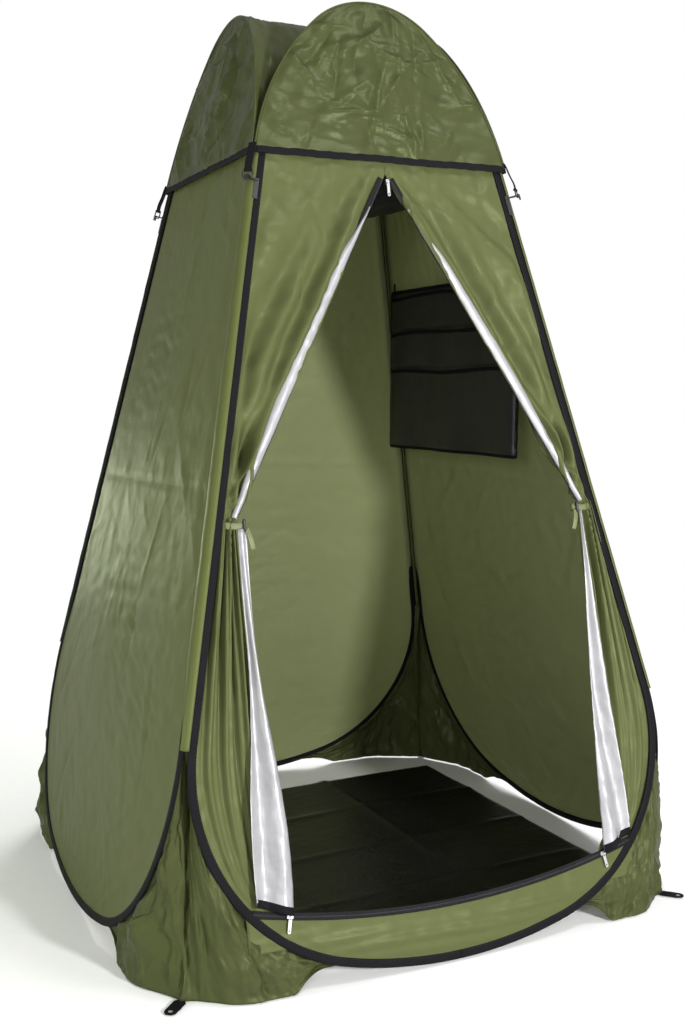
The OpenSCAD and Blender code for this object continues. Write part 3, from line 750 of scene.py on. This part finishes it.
def build_flap(side):
    word = "left" if side < 0 else "right"
    body = word + "_flap"
    out = panel_axes(FRONT)[3]
    reach = np.linspace(0.014, FREE_LEN - 0.006, 130)[:, None]
    across = np.linspace(0.0002, 0.0115, 6)
    wave = 0.0006 * waves(reach, 0 * reach, 130 + side, 5, 0.04, 0.1)
    grid = along_free(side, reach + 0 * across, across + 0 * reach, 0.0011 + wave + 0 * across)
    obj = grid_object(word + "_flap_zip_tape", grid)
    finish_piece(thicken(obj, 0.0009), ZIP_TAPE, body, [word + "_zip_tape"])
    line = along_free(side, reach[:, 0], 0.0018 + 0 * reach[:, 0], 0.0015 + wave[:, 0])
    teeth(word + "_flap_zip_teeth", line, out, TEETH, body)
    reach = np.linspace(0.085, FREE_LEN - 0.004, 120)[:, None]
    grow = ease((reach - 0.085) / 0.16)
    width = 0.003 + 0.0165 * grow + 0.006 * bump(reach, 0.45, 0.2) - 0.008 * ease((reach - 0.66) / 0.14)
    d = np.linspace(0, 1, 12)
    roll = 0.0018 + (0.0030 + 0.0035 * grow) * np.sin(math.pi * d) ** 0.8
    crimp = 0.0012 * waves(reach, d * 0.03, 140 + side, 7, 0.02, 0.08, 0.5) * np.sin(math.pi * d)
    start = 0.0018 + 0.0005 * waves(reach, 0 * reach, 150 + side, 4, 0.05, 0.12)
    grid = along_free(side, reach + 0 * d, start + width * d, roll + crimp)
    sheet(word + "_flap_lining", grid, LINING, body, [word + "_lining"])


def build_tail(side):
    word = "left" if side < 0 else "right"
    t = np.linspace(0, 1, 84)[:, None]
    d = np.linspace(0, 1, 26)
    v = 0.866 - (0.866 - 0.152 - 0.028 * d) * t
    inner = 0.378 - 0.030 * ease(t / 0.95) + 0.004 * np.sin(t * 7 + side)
    outer = 0.389 + 0.004 * ease(t / 0.4) + 0.026 * ease((t - 0.25) / 0.75) + 0.003 * np.sin(t * 9 - side)
    u = inner + (outer - inner) * d
    spread = 0.25 + 0.75 * ease(t / 0.6)
    pleat = 0.0095 * spread * np.sin(TAU * (1.05 * d + 0.25 * np.sin(3.4 * t + side)) + 1.2 * side)
    small = (0.0014 * rumple(u * 2.0, v, 160 + side, 0.06) + 0.002 * creases(u, v, 162 + side, 26, 0.004, 0.06)) * spread
    n = 0.0125 + pleat + small
    grid = on_panel(FRONT, side * u, v, n)
    sheet(word + "_tail_cloth", grid, LINING, word + "_tail_body", [word + "_tail"])
    rim = grid[-8:].copy()
    out = panel_axes(FRONT)[3]
    low = rim[-1] + (rim[-1] - rim[-2]) * 0.35
    rows = np.linspace(rim[-1] + (rim[0] - rim[-1]) * 0.21, low, 5)
    band = np.concatenate([rows + out * 0.0011, rows[::-1] - out * 0.0011], 0)
    obj = grid_object(word + "_tail_hem_band", band, ring_rows=True)
    finish_piece(obj, TAPE, word + "_tail_body", [word + "_tail_hem"])


def build_tie(side):
    """A cloth band round the gathered curtain, with a short loose end."""
    word = "left" if side < 0 else "right"
    a = np.linspace(0, TAU, 40, endpoint=False)
    u = 0.393 + 0.0225 * np.sign(np.cos(a)) * np.abs(np.cos(a)) ** 0.8
    n = 0.0005 + 0.0085 * np.sign(np.sin(a)) * np.abs(np.sin(a)) ** 0.8
    h = np.linspace(-1, 1, 6)[:, None]
    v = TIE_V - 0.007 + 0.0065 * h + 0.0012 * np.sin(3 * a)
    grid = on_panel(FRONT, side * (u + 0 * h), v, n + 0.0008 * (1 - h**2))
    obj = grid_object(word + "_tie_band", grid, ring_cols=True)
    finish_piece(thicken(obj, 0.0012), GREEN_TAPE, "front_panel", ["tie_backs"])
    path_t = np.linspace(0, 1, 14)
    path = on_panel(
        FRONT,
        side * (0.374 - 0.010 * path_t),
        TIE_V - 0.012 - 0.042 * path_t,
        0.0105 + 0.004 * np.sin(3 * path_t),
    )
    end = tube(word + "_tie_end", path, 0.011, 0.0012, panel_axes(FRONT)[3], sides=8)
    finish_piece(end, GREEN_TAPE, "front_panel", ())


def build_sill_zip():
    u = np.linspace(-0.425, 0.425, 150)
    slope = u / np.sqrt(SILL_R**2 - u**2)
    across = np.linspace(-0.007, 0.007, 7)[:, None]
    grid = on_panel(
        FRONT,
        u - across * np.sin(np.arctan(slope)),
        sill_line(u) + across * np.cos(np.arctan(slope)),
        0.0012 + 0.0004 * waves(u, across, 171, 5, 0.03, 0.1),
    )
    obj = thicken(grid_object("sill_zip_strip", grid.transpose(1, 0, 2)), 0.0009)
    finish_piece(obj, ZIP_TAPE, "front_panel", ["sill_zip_tape"])
    line = on_panel(FRONT, u, sill_line(u), 0.0016)
    teeth("sill_zip_teeth", line, panel_axes(FRONT)[3], TEETH, "front_panel")


build_sill()
build_sill_zip()
for side in (-1, 1):
    build_curtain_top(side)
    build_curtain_low(side)
    build_flap(side)
    build_tail(side)
    build_tie(side)


# ---- corners: gussets, seams, tabs ----
FOOT = 0.550


def build_gusset(j):
    """Crumpled cloth that closes the corner below the loops, from panel a round to panel b."""
    a, b = (j - 1) % 4, j
    path = half_loop(0.002, 3)
    start = (0.235, 0.260, 0.150, 0.150)[j]
    keep = (path[:, 0] > start) & (path[:, 1] < 0.478)
    rim = resample(path[keep], 0.0065)
    top_v = rim[-1, 1] + 0.016
    rim = np.concatenate([rim, [[half_at(top_v) - 0.0005, top_v]]])
    reach = np.linspace(0, 1, len(rim))
    foot_u = start + 0.03 + (FOOT - start - 0.03) * reach**0.85
    foot_in = 0.004 + (BASE - FOOT - 0.004) * ease((reach - 0.45) / 0.55) ** 1.3
    halves = []
    q = np.linspace(0, 1, 64)[:, None]
    for panel, sign in ((a, 1), (b, -1)):
        top = on_panel(panel, sign * rim[:, 0], rim[:, 1], -0.0036)
        ground = np.stack([sign * foot_u, -(BASE - foot_in), 0 * foot_u + 0.0035], 1) @ spin(panel).T
        ground = top + (ground - top) * ease(reach / 0.25)[:, None]
        halves.append(ground * (1 - q[..., None]) + top * q[..., None])
    corner_mean = (halves[0][:, -1] + halves[1][:, -1]) / 2
    grid = np.concatenate([halves[0][:, :-1], corner_mean[:, None], halves[1][:, -2::-1]], 1)
    cols = grid.shape[1]
    p = np.linspace(-1, 1, cols)
    out_a = np.array(panel_axes(a)[3])
    out_b = np.array(panel_axes(b)[3])
    mixed = out_a + (out_b - out_a) * ease((p[:, None] + 0.25) / 0.5)
    mixed = mixed / np.linalg.norm(mixed, axis=1)[:, None]
    hold = ease(q / 0.08) * 0.75 + 0.25
    hold = hold * ease((1 - q) / 0.10) * ease((1 - np.abs(p)) / 0.10)
    span = np.linalg.norm(grid[-1] - grid[0], axis=1)
    puff = 0.018 * np.sin(math.pi * q) * bump(np.abs(p), 0.45, 0.30)
    pinch = -0.022 * bump(p, 0, 0.045) * np.sin(math.pi * q) ** 0.6
    folds = 0.012 * rumple(p * 0.5, q * span * 0.7 + 3 * j, 200 + j, 0.17, 0.8)
    fine = 0.0022 * rumple(p * 0.5, q * span + j, 210 + j, 0.060, 0.9)
    lines = 0.010 * creases(p * 0.5 + 0 * q, q * span, 205 + j, 46, 0.008, 0.09)
    grid = grid + mixed * ((puff + pinch + folds + fine + lines) * hold)[..., None]
    grid[..., 2] = np.maximum(grid[..., 2], 0.0015)
    names = [PANEL_NAMES[a], PANEL_NAMES[b]]
    nodes = [n + "_gussets" for n in names]
    middle = cols // 2
    if j == 2:
        for part, name in ((grid[:, : middle + 1], names[0]), (grid[:, middle:], names[1])):
            sheet(f"gusset_back_right_{name}", part, GUSSET, name + "_panel", nodes)
        return
    word = {0: "front_left", 1: "front_right", 3: "back_left"}[j]
    obj = thicken(grid_object("gusset_" + word, grid))
    finish_piece(obj, GUSSET, None, nodes)
    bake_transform(obj)


def build_corner_seam(j):
    """Folded tape that joins two neighbouring loops along their corner edge."""
    a, b = (j - 1) % 4, j
    v = np.linspace(0.470, RING_V - 0.004, 150)
    wave = 0.0005 * waves(v, 0 * v, 220 + j, 6, 0.03, 0.12)
    kept, covered = ((b, -1), (a, 1)) if j != 1 else ((a, 1), (b, -1))

    def line(side, d, n):
        panel, sign = side
        return on_panel(panel, sign * (half_at(v) - d), v, n + wave)

    near = line(kept, 0.0030, 0.0046)
    turned = line(covered, 0.0030, 0.0052)
    away = spin(j) @ np.array([-1, -1, 0]) / math.sqrt(2)
    ridge = (near + turned) / 2 + away * 0.0026
    wide = ease((v - 0.47) / 0.16)
    rest = [line(covered, 0.003 + d * wide, n) for d, n in ((0.007, 0.0056), (0.0175, 0.0050), (0.0205, 0.0018))]
    grid = np.stack([near, ridge, turned, *rest], 1)
    if j == 2:
        for part, (panel, _) in ((grid[:, :2], kept), (grid[:, 1:], covered)):
            name = PANEL_NAMES[panel]
            sheet(f"corner_seam_{name}_side", part, OLIVE, name + "_panel", (), 0.0009)
        return
    word = {0: "front_left", 1: "front_right", 3: "back_left"}[j]
    obj = thicken(grid_object("corner_seam_" + word, grid), 0.0009)
    finish_piece(obj, CURTAIN if j == 1 else OLIVE, None, ())
    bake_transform(obj)


def build_peg_tab(j):
    """Webbing tab with an eyelet, flat on the ground outside the corner."""
    body = {0: "front_panel", 1: "front_panel", 2: "right_panel", 3: "left_panel"}[j]
    node = {0: "front_peg_tabs", 1: "front_peg_tabs", 2: "right_peg_tab", 3: "left_peg_tab"}[j]
    hole, half, length = 0.005, 0.012, 0.040
    a = np.linspace(0, TAU, 56, endpoint=False)
    inward = np.maximum(np.cos(a), 1e-6)
    reach = np.where(np.cos(a) > 0, np.minimum(half / np.maximum(np.abs(np.sin(a)), 1e-6), length / inward), half)
    share = np.linspace(0, 1, 8)[:, None]
    r = hole + (reach - hole) * share
    x, y = r * np.cos(a), r * np.sin(a)
    rise = 0.0009 * bump(r, hole + 0.0022, 0.0012) + 0.0004 * waves(x, y, 230 + j, 5, 0.008, 0.03)
    out = spin(j) @ np.array([-1, -1, 0]) / math.sqrt(2)
    along = np.cross([0, 0, 1], out)
    centre = out * (math.sqrt(2) * BASE - 0.064) + np.array([0, 0, 0.0038])
    grid = centre - out * x[..., None] + along * y[..., None] + np.array([0, 0, 1]) * rise[..., None]
    obj = grid_object("peg_tab_" + ["front_left", "front_right", "back_right", "back_left"][j], grid, ring_cols=True)
    finish_piece(thicken(obj, 0.0016), TAPE, body, [node])


for corner in range(4):
    build_gusset(corner)
    build_corner_seam(corner)
    build_peg_tab(corner)


# ---- hood ----
def squash_flat(obj, stand=HOOD_N + 0.0060):
    """Gives a piece of the hood, or of what hangs in it, its own copy of its mesh; the point stand metres off the front
    panel at the middle of its ring edge is worked out but not used.
    """
    anchor = on_panel(FRONT, 0.0, RING_V, stand)
    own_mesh(obj)


def hood_part(obj, material, nodes):
    finish_piece(obj, material, "hood", nodes)
    squash_flat(obj)


def arch_rows(step):
    path = half_loop(HOOD_OVER, 3)
    path = path[path[:, 1] > RING_V - 0.006]
    return resample(path, step)


def build_hood_panel(i):
    name = PANEL_NAMES[i]
    path = arch_rows(0.0055)
    s = np.linspace(-1, 1, 116)
    u, v = path[:, :1] * s, path[:, 1:] + 0 * s
    h = (v - RING_V) / 0.335
    rim = ease((1 - np.abs(s)) / 0.10) * ease((1 - h) / 0.10) * ease((h + 0.02) / 0.08)
    belly = 0.010 * (1 - s**2) * np.sin(math.pi * np.clip(h, 0, 1)) ** 0.7
    fan = np.sin(np.arctan2(u, 1.25 - h) * 19 + 2 * i + 1.5 * np.sin(5 * h)) * bump(h, 0.45, 0.45)
    crushed = 0.35 + 0.65 * bump(h, 0.25, 0.30)
    folds = 0.0042 * rumple(u, v, 300 + i, 0.20, 0.6) + 0.0016 * rumple(u, v, 310 + i, 0.06, 0.9) * crushed
    lines = creases(u, v, 305 + i, 70, 0.007, 0.07) + 0.6 * creases(u, v, 306 + i, 110, 0.004, 0.03) * crushed
    n = HOOD_N + np.maximum(belly + 0.0040 * fan + folds + 0.0120 * lines, -0.0015) * rim
    obj = thicken(grid_object(f"hood_{name}_cloth", on_panel(i, u, v, n)))
    hood_part(obj, HOOD_CLOTH, [f"hood_{name}_panel"])


def arch_curve(count):
    """World points of the front hood arch's edge, from its left foot over to its right foot."""
    half = arch_rows(0.004)
    outline = np.concatenate([half[:-1] * [-1, 1], half[::-1]])
    outline = resample(outline, 0.004)
    at = np.linspace(0, len(outline) - 1, count)
    uv = np.stack([np.interp(at, np.arange(len(outline)), outline[:, k]) for k in (0, 1)], 1)
    return on_panel(FRONT, uv[:, 0], uv[:, 1], HOOD_N)


def build_roof():
    """One saddle of cloth between the four arches, dipping towards the corners and the middle."""
    count = 110
    edge = arch_curve(count)
    side, depth, top = edge[:, 0], -edge[:, 1], edge[:, 2]
    wide, deep, floor = side[-1], depth[0], top[0]
    s = np.arange(count)
    t_share = np.linspace(0, 1, count)
    square = 1 + (deep / wide - 1) * np.clip(8 * t_share * (1 - t_share), 0, 1)
    x = side[None, :] * (depth / deep * square)[:, None]
    y = side[:, None] * (depth / deep * square)[None, :]
    rise_a = (top - floor)[None, :] + 0 * x
    rise_b = (top - floor)[:, None] + 0 * x
    power = 5.0
    rise = (np.maximum(rise_a, 0) ** power + np.maximum(rise_b, 0) ** power) ** (1 / power)
    peak = (top - floor).max()
    both = np.clip(rise_a / peak, 0, 1) ** 2 * np.clip(rise_b / peak, 0, 1) ** 2
    rise = np.minimum(rise, np.maximum(rise_a, rise_b) * 1.03) * (1 - 0.04 * both)
    rim = ease(np.minimum(np.minimum(s, s[::-1])[None, :], np.minimum(s, s[::-1])[:, None]) / 9)
    folds = 0.005 * rumple(x, y, 320, 0.18, 0.7) + 0.0060 * creases(x, y, 322, 90, 0.007, 0.08)
    grid = np.stack([x, y, floor + rise + folds * rim], -1)
    obj = thicken(grid_object("hood_roof_cloth", grid))
    hood_part(obj, HOOD_CLOTH, ["hood_roof"])
    for i in range(4):
        path = arch_curve(120) @ spin(i).T
        seam = tube(f"hood_{PANEL_NAMES[i]}_seam", path, 0.0042, 0.0042, panel_axes(i)[3], sides=8, square=1.0)
        hood_part(seam, HOOD_CLOTH, ())


def square_path(half, radius, count):
    """A rounded square, counted round from the middle of the front side."""
    straight = half - radius
    side = np.linspace(-straight, straight, count)
    one = np.stack([side, 0 * side - half], 1)
    a = np.linspace(-math.pi / 2, 0, 8)[1:-1]
    turn = np.stack([straight + radius * np.cos(a), -straight + radius * np.sin(a)], 1)
    quarter = np.concatenate([one, turn])
    return np.concatenate([quarter @ spin(i)[:2, :2].T for i in range(4)])


def build_hem():
    half = RING + (PLANE + 0.0094) / math.cos(LEAN)
    path = square_path(half, 0.014, 90)
    reach = np.concatenate([[0], np.cumsum(np.linalg.norm(np.diff(path, axis=0), axis=1))])
    sag = 0.0005 * np.sin(reach * TAU / 0.036) + 0.0010 * waves(reach, 0 * reach, 330, 6, 0.05, 0.2)
    stand = 1 + 0.0035 * waves(reach, 0 * reach, 331, 6, 0.04, 0.15)
    sides = 12
    a = np.arange(sides) * TAU / sides
    high = np.sign(np.cos(a)) * np.abs(np.cos(a)) ** 0.7 * 0.0072
    thick = np.sign(np.sin(a)) * np.abs(np.sin(a)) ** 0.7 * 0.0013
    ring = path * stand[:, None]
    scale = 1 + (thick[None, :] - SLOPE * high[None, :]) / half
    flat = ring[:, None, :] * scale[..., None]
    z = RING_Z + sag[:, None] + high[None, :]
    grid = np.concatenate([flat, z[..., None]], -1)
    obj = grid_object("hood_hem_band", grid, ring_rows=True, ring_cols=True)
    hood_part(obj, TAPE, ["hood_hem"])


def on_corner(j, x, y, n):
    """World points beside a corner edge: x across, y up the edge, n outwards."""
    out = spin(j) @ np.array([-1, -1, 0]) / math.sqrt(2)
    across = np.cross([0, 0, 1], out)
    tilt = math.atan(math.sqrt(2) * SLOPE)
    up = np.array([0, 0, math.cos(tilt)]) - out * math.sin(tilt)
    away = out * math.cos(tilt) + np.array([0, 0, math.sin(tilt)])
    x, y, n = np.broadcast_arrays(x, y, n)
    return out * math.sqrt(2) * BASE + x[..., None] * across + y[..., None] * up + n[..., None] * away


RING_AT = RING_Z * math.sqrt(1 + 2 * SLOPE**2) - 0.062


def build_strap(j):
    word = ["front_left", "front_right", "back_right", "back_left"][j]
    t = np.linspace(0, 1, 18)[:, None]
    x = np.linspace(-0.008, 0.008, 7)
    y = RING_AT + 0.070 - 0.062 * t
    n = 0.0175 + 0.0072 * ease(t * 1.3) + 0.0008 * np.sin(9 * t)
    grid = on_corner(j, x * (1 + 0.03 * np.sin(11 * t)), y, n + 0 * x)
    obj = thicken(grid_object("hood_strap_" + word, grid), 0.0014)
    hood_part(obj, TAPE, ["hood_straps"])
    a = np.linspace(0, TAU, 20, endpoint=False)
    across = np.linspace(-0.008, 0.008, 6)[:, None]
    loop = on_corner(j, across + 0 * a, RING_AT + 0.008 + 0.0029 * np.cos(a), 0.0247 + 0.0029 * np.sin(a) + 0 * across)
    wrap = thicken(grid_object("hood_strap_loop_" + word, loop, ring_cols=True), 0.0008)
    hood_part(wrap, TAPE, ())


def build_hood_ring(j):
    """A flattened wire ring that hangs from the strap."""
    half_wide, half_high, bar = 0.011, 0.008, 0.0014
    a = np.linspace(0, TAU, 48, endpoint=False)
    x = half_wide * np.sign(np.cos(a)) * np.abs(np.cos(a)) ** 0.5
    y = half_high * np.sign(np.sin(a)) * np.abs(np.sin(a)) ** 0.5
    path = on_corner(j, x, RING_AT + y, 0.0247)
    path = resample(path, 0.0011, closed=True)
    out = on_corner(j, 0.0, 0.0, 1.0) - on_corner(j, 0.0, 0.0, 0.0)
    word = ["front_left", "front_right", "back_right", "back_left"][j]
    ring = tube("hood_ring_" + word, path, 2 * bar, 2 * bar, out, closed=True, sides=12, square=1.0)
    hood_part(ring, PLASTIC, ["hood_rings"])


def build_ceiling_net():
    half = RING - 0.012
    x, y = np.meshgrid(np.linspace(-half, half, 44), np.linspace(-half, half, 44))
    away = np.clip((x**2 + y**2) / (2 * half**2), 0, 1)
    edge = np.minimum(half - np.abs(x), half - np.abs(y)) / half
    z = RING_Z - 0.008 - 0.065 * (1 - away) * ease(edge * 2.2 + 0.15) + 0.004 * rumple(x, y, 340, 0.10) * ease(edge * 4)
    obj = thicken(grid_object("ceiling_net", np.stack([x, y, z], -1)))
    finish_piece(obj, NET, "front_panel", ["roof_net"])
    squash_flat(obj, -0.0060)


for panel in (FRONT, RIGHT, BACK, LEFT):
    build_hood_panel(panel)
build_roof()
build_hem()
for corner in range(4):
    build_strap(corner)
    build_hood_ring(corner)
build_ceiling_net()


# ---- organiser ----
ORG_W, ORG_H = 0.620, 0.405
ORG_Z = 1.360
ORG_X = BASE - SLOPE * ORG_Z - 0.0015
ORG_Y = -ORG_W / 2
TIERS = ((0.02, 0.50), (0.52, 0.74), (0.76, 0.97))


def organiser_sway(y, z):
    """How far the hanging cloth stands off from its plane, more towards its lower edge."""
    drop = (ORG_Z - z) / ORG_H
    return drop * (0.006 * np.sin((y - ORG_Y) * 24 + 0.6) + 0.004) + 0.0012 * rumple(y, z, 400, 0.09)


def organiser_part(obj, material, nodes):
    finish_piece(obj, material, "organiser", nodes)
    anchor = on_panel(RIGHT, 0.0, ORG_Z, -0.004)
    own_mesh(obj)


def build_organiser():
    y, z = np.meshgrid(np.linspace(0.001, ORG_W - 0.001, 46), np.linspace(0.001, ORG_H - 0.001, 46))
    y, z = ORG_Y + y, ORG_Z - ORG_H + z
    grid = np.stack([ORG_X - 0.0006 - organiser_sway(y, z), y, z], -1)
    organiser_part(thicken(grid_object("organiser_back", grid)), NET, ["organiser_sheet"])
    for number, (low, high) in enumerate(TIERS):
        t = np.linspace(0, 1, 18)[:, None]
        s = np.linspace(0, 1, 50)
        y = ORG_Y + 0.008 + (ORG_W - 0.016) * s
        z = ORG_Z - ORG_H + (low + (high - low) * t) * ORG_H - 0.003 + 0.003 * np.sin(9 * s + number) * t
        pouch = 0.0016 + (0.0048 + 0.0035 * np.sin(TAU * (1.5 + number) * s + number)) * np.sin(math.pi * (0.08 + 0.62 * t)) * np.sin(math.pi * s) ** 0.4
        x = ORG_X - organiser_sway(y, z) - 0.0012 - pouch
        grid = np.stack([x, y + 0 * t, z], -1)
        obj = thicken(grid_object(f"organiser_pocket_{number + 1}", grid))
        organiser_part(obj, POCKET, ["organiser_pockets"])
        lip = grid[-1] + np.array([-0.0006, 0, -0.004])
        tape = tube(f"organiser_lip_{number + 1}", lip, 0.009, 0.0016, [-1.0, 0, 0], sides=8)
        organiser_part(tape, TAPE, ["organiser_binding"])
    corners = np.array([[0, 0], [1, 0], [1, 1], [0, 1], [0, 0]]) * [ORG_W, ORG_H]
    path = resample(corners, 0.008)[:-1]
    y, z = ORG_Y + path[:, 0], ORG_Z - ORG_H + path[:, 1]
    ring = np.stack([ORG_X - 0.0006 - organiser_sway(y, z), y, z], -1)
    centre = np.array([0, ORG_Y + ORG_W / 2, ORG_Z - ORG_H / 2])
    ring = ring - (ring - centre) * [0, 0.013, 0.013]
    edge = tube("organiser_edge_tape", ring, 0.010, 0.0022, [-1.0, 0, 0], closed=True, sides=8)
    organiser_part(edge, TAPE, ["organiser_binding"])
    for number, start in enumerate((0.014, ORG_W - 0.024)):
        t = np.linspace(0, 1, 10)
        path = np.stack([ORG_X - 0.0010 + 0 * t, ORG_Y + start + 0.005 + 0 * t, ORG_Z - 0.012 + 0.033 * t], -1)
        tab = tube(f"organiser_tab_{number + 1}", path, 0.010, 0.0014, [-1.0, 0, 0], sides=8)
        organiser_part(tab, TAPE, ["organiser_binding"])


build_organiser()


# ---- floor mat ----
MAT_W, MAT_D = 1.040, 0.980


def build_mat():
    x, y = np.meshgrid(np.linspace(-MAT_W / 2, MAT_W / 2, 150), np.linspace(-MAT_D / 2, MAT_D / 2, 136))
    z = 0.0012 + 0.0007 * (1 + waves(x, y, 500, 10, 0.02, 0.09, 0.6))
    z = z + 0.0012 * (1 + waves(x, y, 501, 7, 0.15, 0.5))
    for line in (-0.19, 0.185):
        z = z + 0.0050 * np.exp(-np.abs(x - line - 0.004 * np.sin(7 * y)) / 0.010)
    for line in (-0.24, 0.01, 0.26):
        z = z + 0.0046 * np.exp(-np.abs(y - line - 0.004 * np.sin(6 * x)) / 0.010)
    wobble_x = 0.004 * waves(y, 0 * y, 502, 5, 0.1, 0.4) * (np.abs(x) / (MAT_W / 2)) ** 8
    wobble_y = 0.004 * waves(x, 0 * x, 503, 5, 0.1, 0.4) * (np.abs(y) / (MAT_D / 2)) ** 8
    turn = math.radians(2)
    x, y = x + wobble_x, y + wobble_y
    wx = x * math.cos(turn) - y * math.sin(turn) + 0.020
    wy = x * math.sin(turn) + y * math.cos(turn) - 0.043
    under = ease((np.maximum(np.abs(wx), np.abs(wy)) - 0.50) / 0.07)
    z = np.minimum(z, z * (1 - under) + 0.0013 * under)
    obj = thicken(grid_object("floor_mat_cloth", np.stack([wx, wy, z], -1)), 0.0010)
    finish_piece(obj, MAT, "mat", ["floor_mat"])


build_mat()


# ---- hard parts keep their CAD shape, with rounded edges and their own finish ----
HARD = {
    "door_slider": ZIP_METAL,
    "door_pull": ZIP_METAL,
    "sill_slider_left": ZIP_METAL,
    "sill_pull_left": ZIP_METAL,
    "sill_slider_right": ZIP_METAL,
    "sill_pull_right": ZIP_METAL,
    "left_toggle": PLASTIC,
    "right_toggle": PLASTIC,
    "front_corner_hooks": PLASTIC,
    "left_corner_hook": PLASTIC,
    "right_corner_hook": PLASTIC,
}
for node, finish in HARD.items():
    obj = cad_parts[node]
    obj.data.materials.clear()
    obj.data.materials.append(finish)
    rounding = obj.modifiers.new("rounding", "BEVEL")
    rounding.width = 0.0003
    rounding.segments = 2
    rounding.limit_method = "ANGLE"


# ---- stage ----
def pale_floor():
    s = Shader("pale_floor")
    where = s.add("ShaderNodeNewGeometry", {}).outputs["Position"]
    far = s.add("ShaderNodeVectorMath", {0: where}, operation="LENGTH").outputs["Value"]
    fade = s.add("ShaderNodeMapRange", {"Value": far, 1: 0.9, 2: 3.2, 3: 0.0, 4: 1.0}).outputs[0]
    grain = s.noise(40.0, 2.0, vector=s.coords("Object"))
    colour = s.mix(grain, rgb(0.80, 0.80, 0.80), rgb(0.84, 0.84, 0.84))
    matt = s.add("ShaderNodeBsdfPrincipled", {"Base Color": colour, "Roughness": 0.8})
    glow = s.add("ShaderNodeEmission", {"Color": rgb(1, 1, 1), "Strength": 1.0})
    both = s.add("ShaderNodeMixShader", {0: fade, 1: matt.outputs[0], 2: glow.outputs[0]})
    return s.output(both.outputs[0])


corners = np.array([[-60, -60, 0], [60, -60, 0], [60, 60, 0], [-60, 60, 0]], float)
floor = new_object("stage_floor", corners, np.array([[0, 1, 2, 3]]))
floor.data.materials.append(pale_floor())


def softbox(name, place, target, size, power, colour=(1.0, 1.0, 1.0)):
    light = bpy.data.lights.new(name, "AREA")
    light.shape = "DISK"
    light.size = size
    light.energy = power
    light.color = colour
    obj = bpy.data.objects.new(name, light)
    obj.location = place
    aim = Vector(target) - Vector(place)
    obj.rotation_euler = aim.to_track_quat("-Z", "Y").to_euler()
    bpy.context.scene.collection.objects.link(obj)


GREENISH = (0.90, 1.00, 0.70)
softbox("front", (0.40, -3.2, 1.15), (0, 0, 0.8), 0.30, 112)
softbox("fill", (-2.0, -2.9, 1.4), (0, 0, 0.9), 0.7, 38)
softbox("left", (-2.9, -0.3, 0.70), (0, 0, 0.6), 0.60, 25, GREENISH)
softbox("above", (0.9, -1.6, 3.4), (0, 0, 1.4), 0.7, 34)
softbox("behind", (1.4, 2.6, 1.9), (0, 0, 0.9), 1.8, 90)
softbox("edge", (-0.95, 3.5, 0.75), (-0.5, 0.4, 0.7), 0.7, 12, GREENISH)

world = bpy.data.worlds.new("studio")
bpy.context.scene.world = world
world.use_nodes = True
tree = world.node_tree
tree.nodes.clear()
seen = tree.nodes.new("ShaderNodeLightPath")
strength = tree.nodes.new("ShaderNodeMapRange")
strength.inputs[3].default_value = 0.55
strength.inputs[4].default_value = 1.0
sky = tree.nodes.new("ShaderNodeBackground")
sky.inputs["Color"].default_value = (1, 1, 1, 1)
target = tree.nodes.new("ShaderNodeOutputWorld")
tree.links.new(seen.outputs["Is Camera Ray"], strength.inputs[0])
tree.links.new(strength.outputs[0], sky.inputs["Strength"])
tree.links.new(sky.outputs[0], target.inputs[0])
bpy.context.scene.view_settings.view_transform = "Standard"

# ---- camera at the photograph's viewing angle ----
CAMERA_AT = (-1.1576, -2.5660, 1.1165)
YAW, PITCH, ROLL = 0.4352, 0.1045, 0.0041
FOCAL_PIXELS, LONG_SIDE, SENSOR = 1205.0, 1024, 36.0
camera_data = bpy.data.cameras.new("camera")
camera_data.lens = FOCAL_PIXELS / LONG_SIDE * SENSOR
camera_data.sensor_width = SENSOR
camera = bpy.data.objects.new("camera", camera_data)
look = Vector((math.sin(YAW) * math.cos(PITCH), math.cos(YAW) * math.cos(PITCH), -math.sin(PITCH)))
camera.matrix_world = (
    Matrix.Translation(CAMERA_AT) @ look.to_track_quat("-Z", "Y").to_matrix().to_4x4() @ Matrix.Rotation(-ROLL, 4, "Z")
)
bpy.context.scene.collection.objects.link(camera)
bpy.context.scene.camera = camera
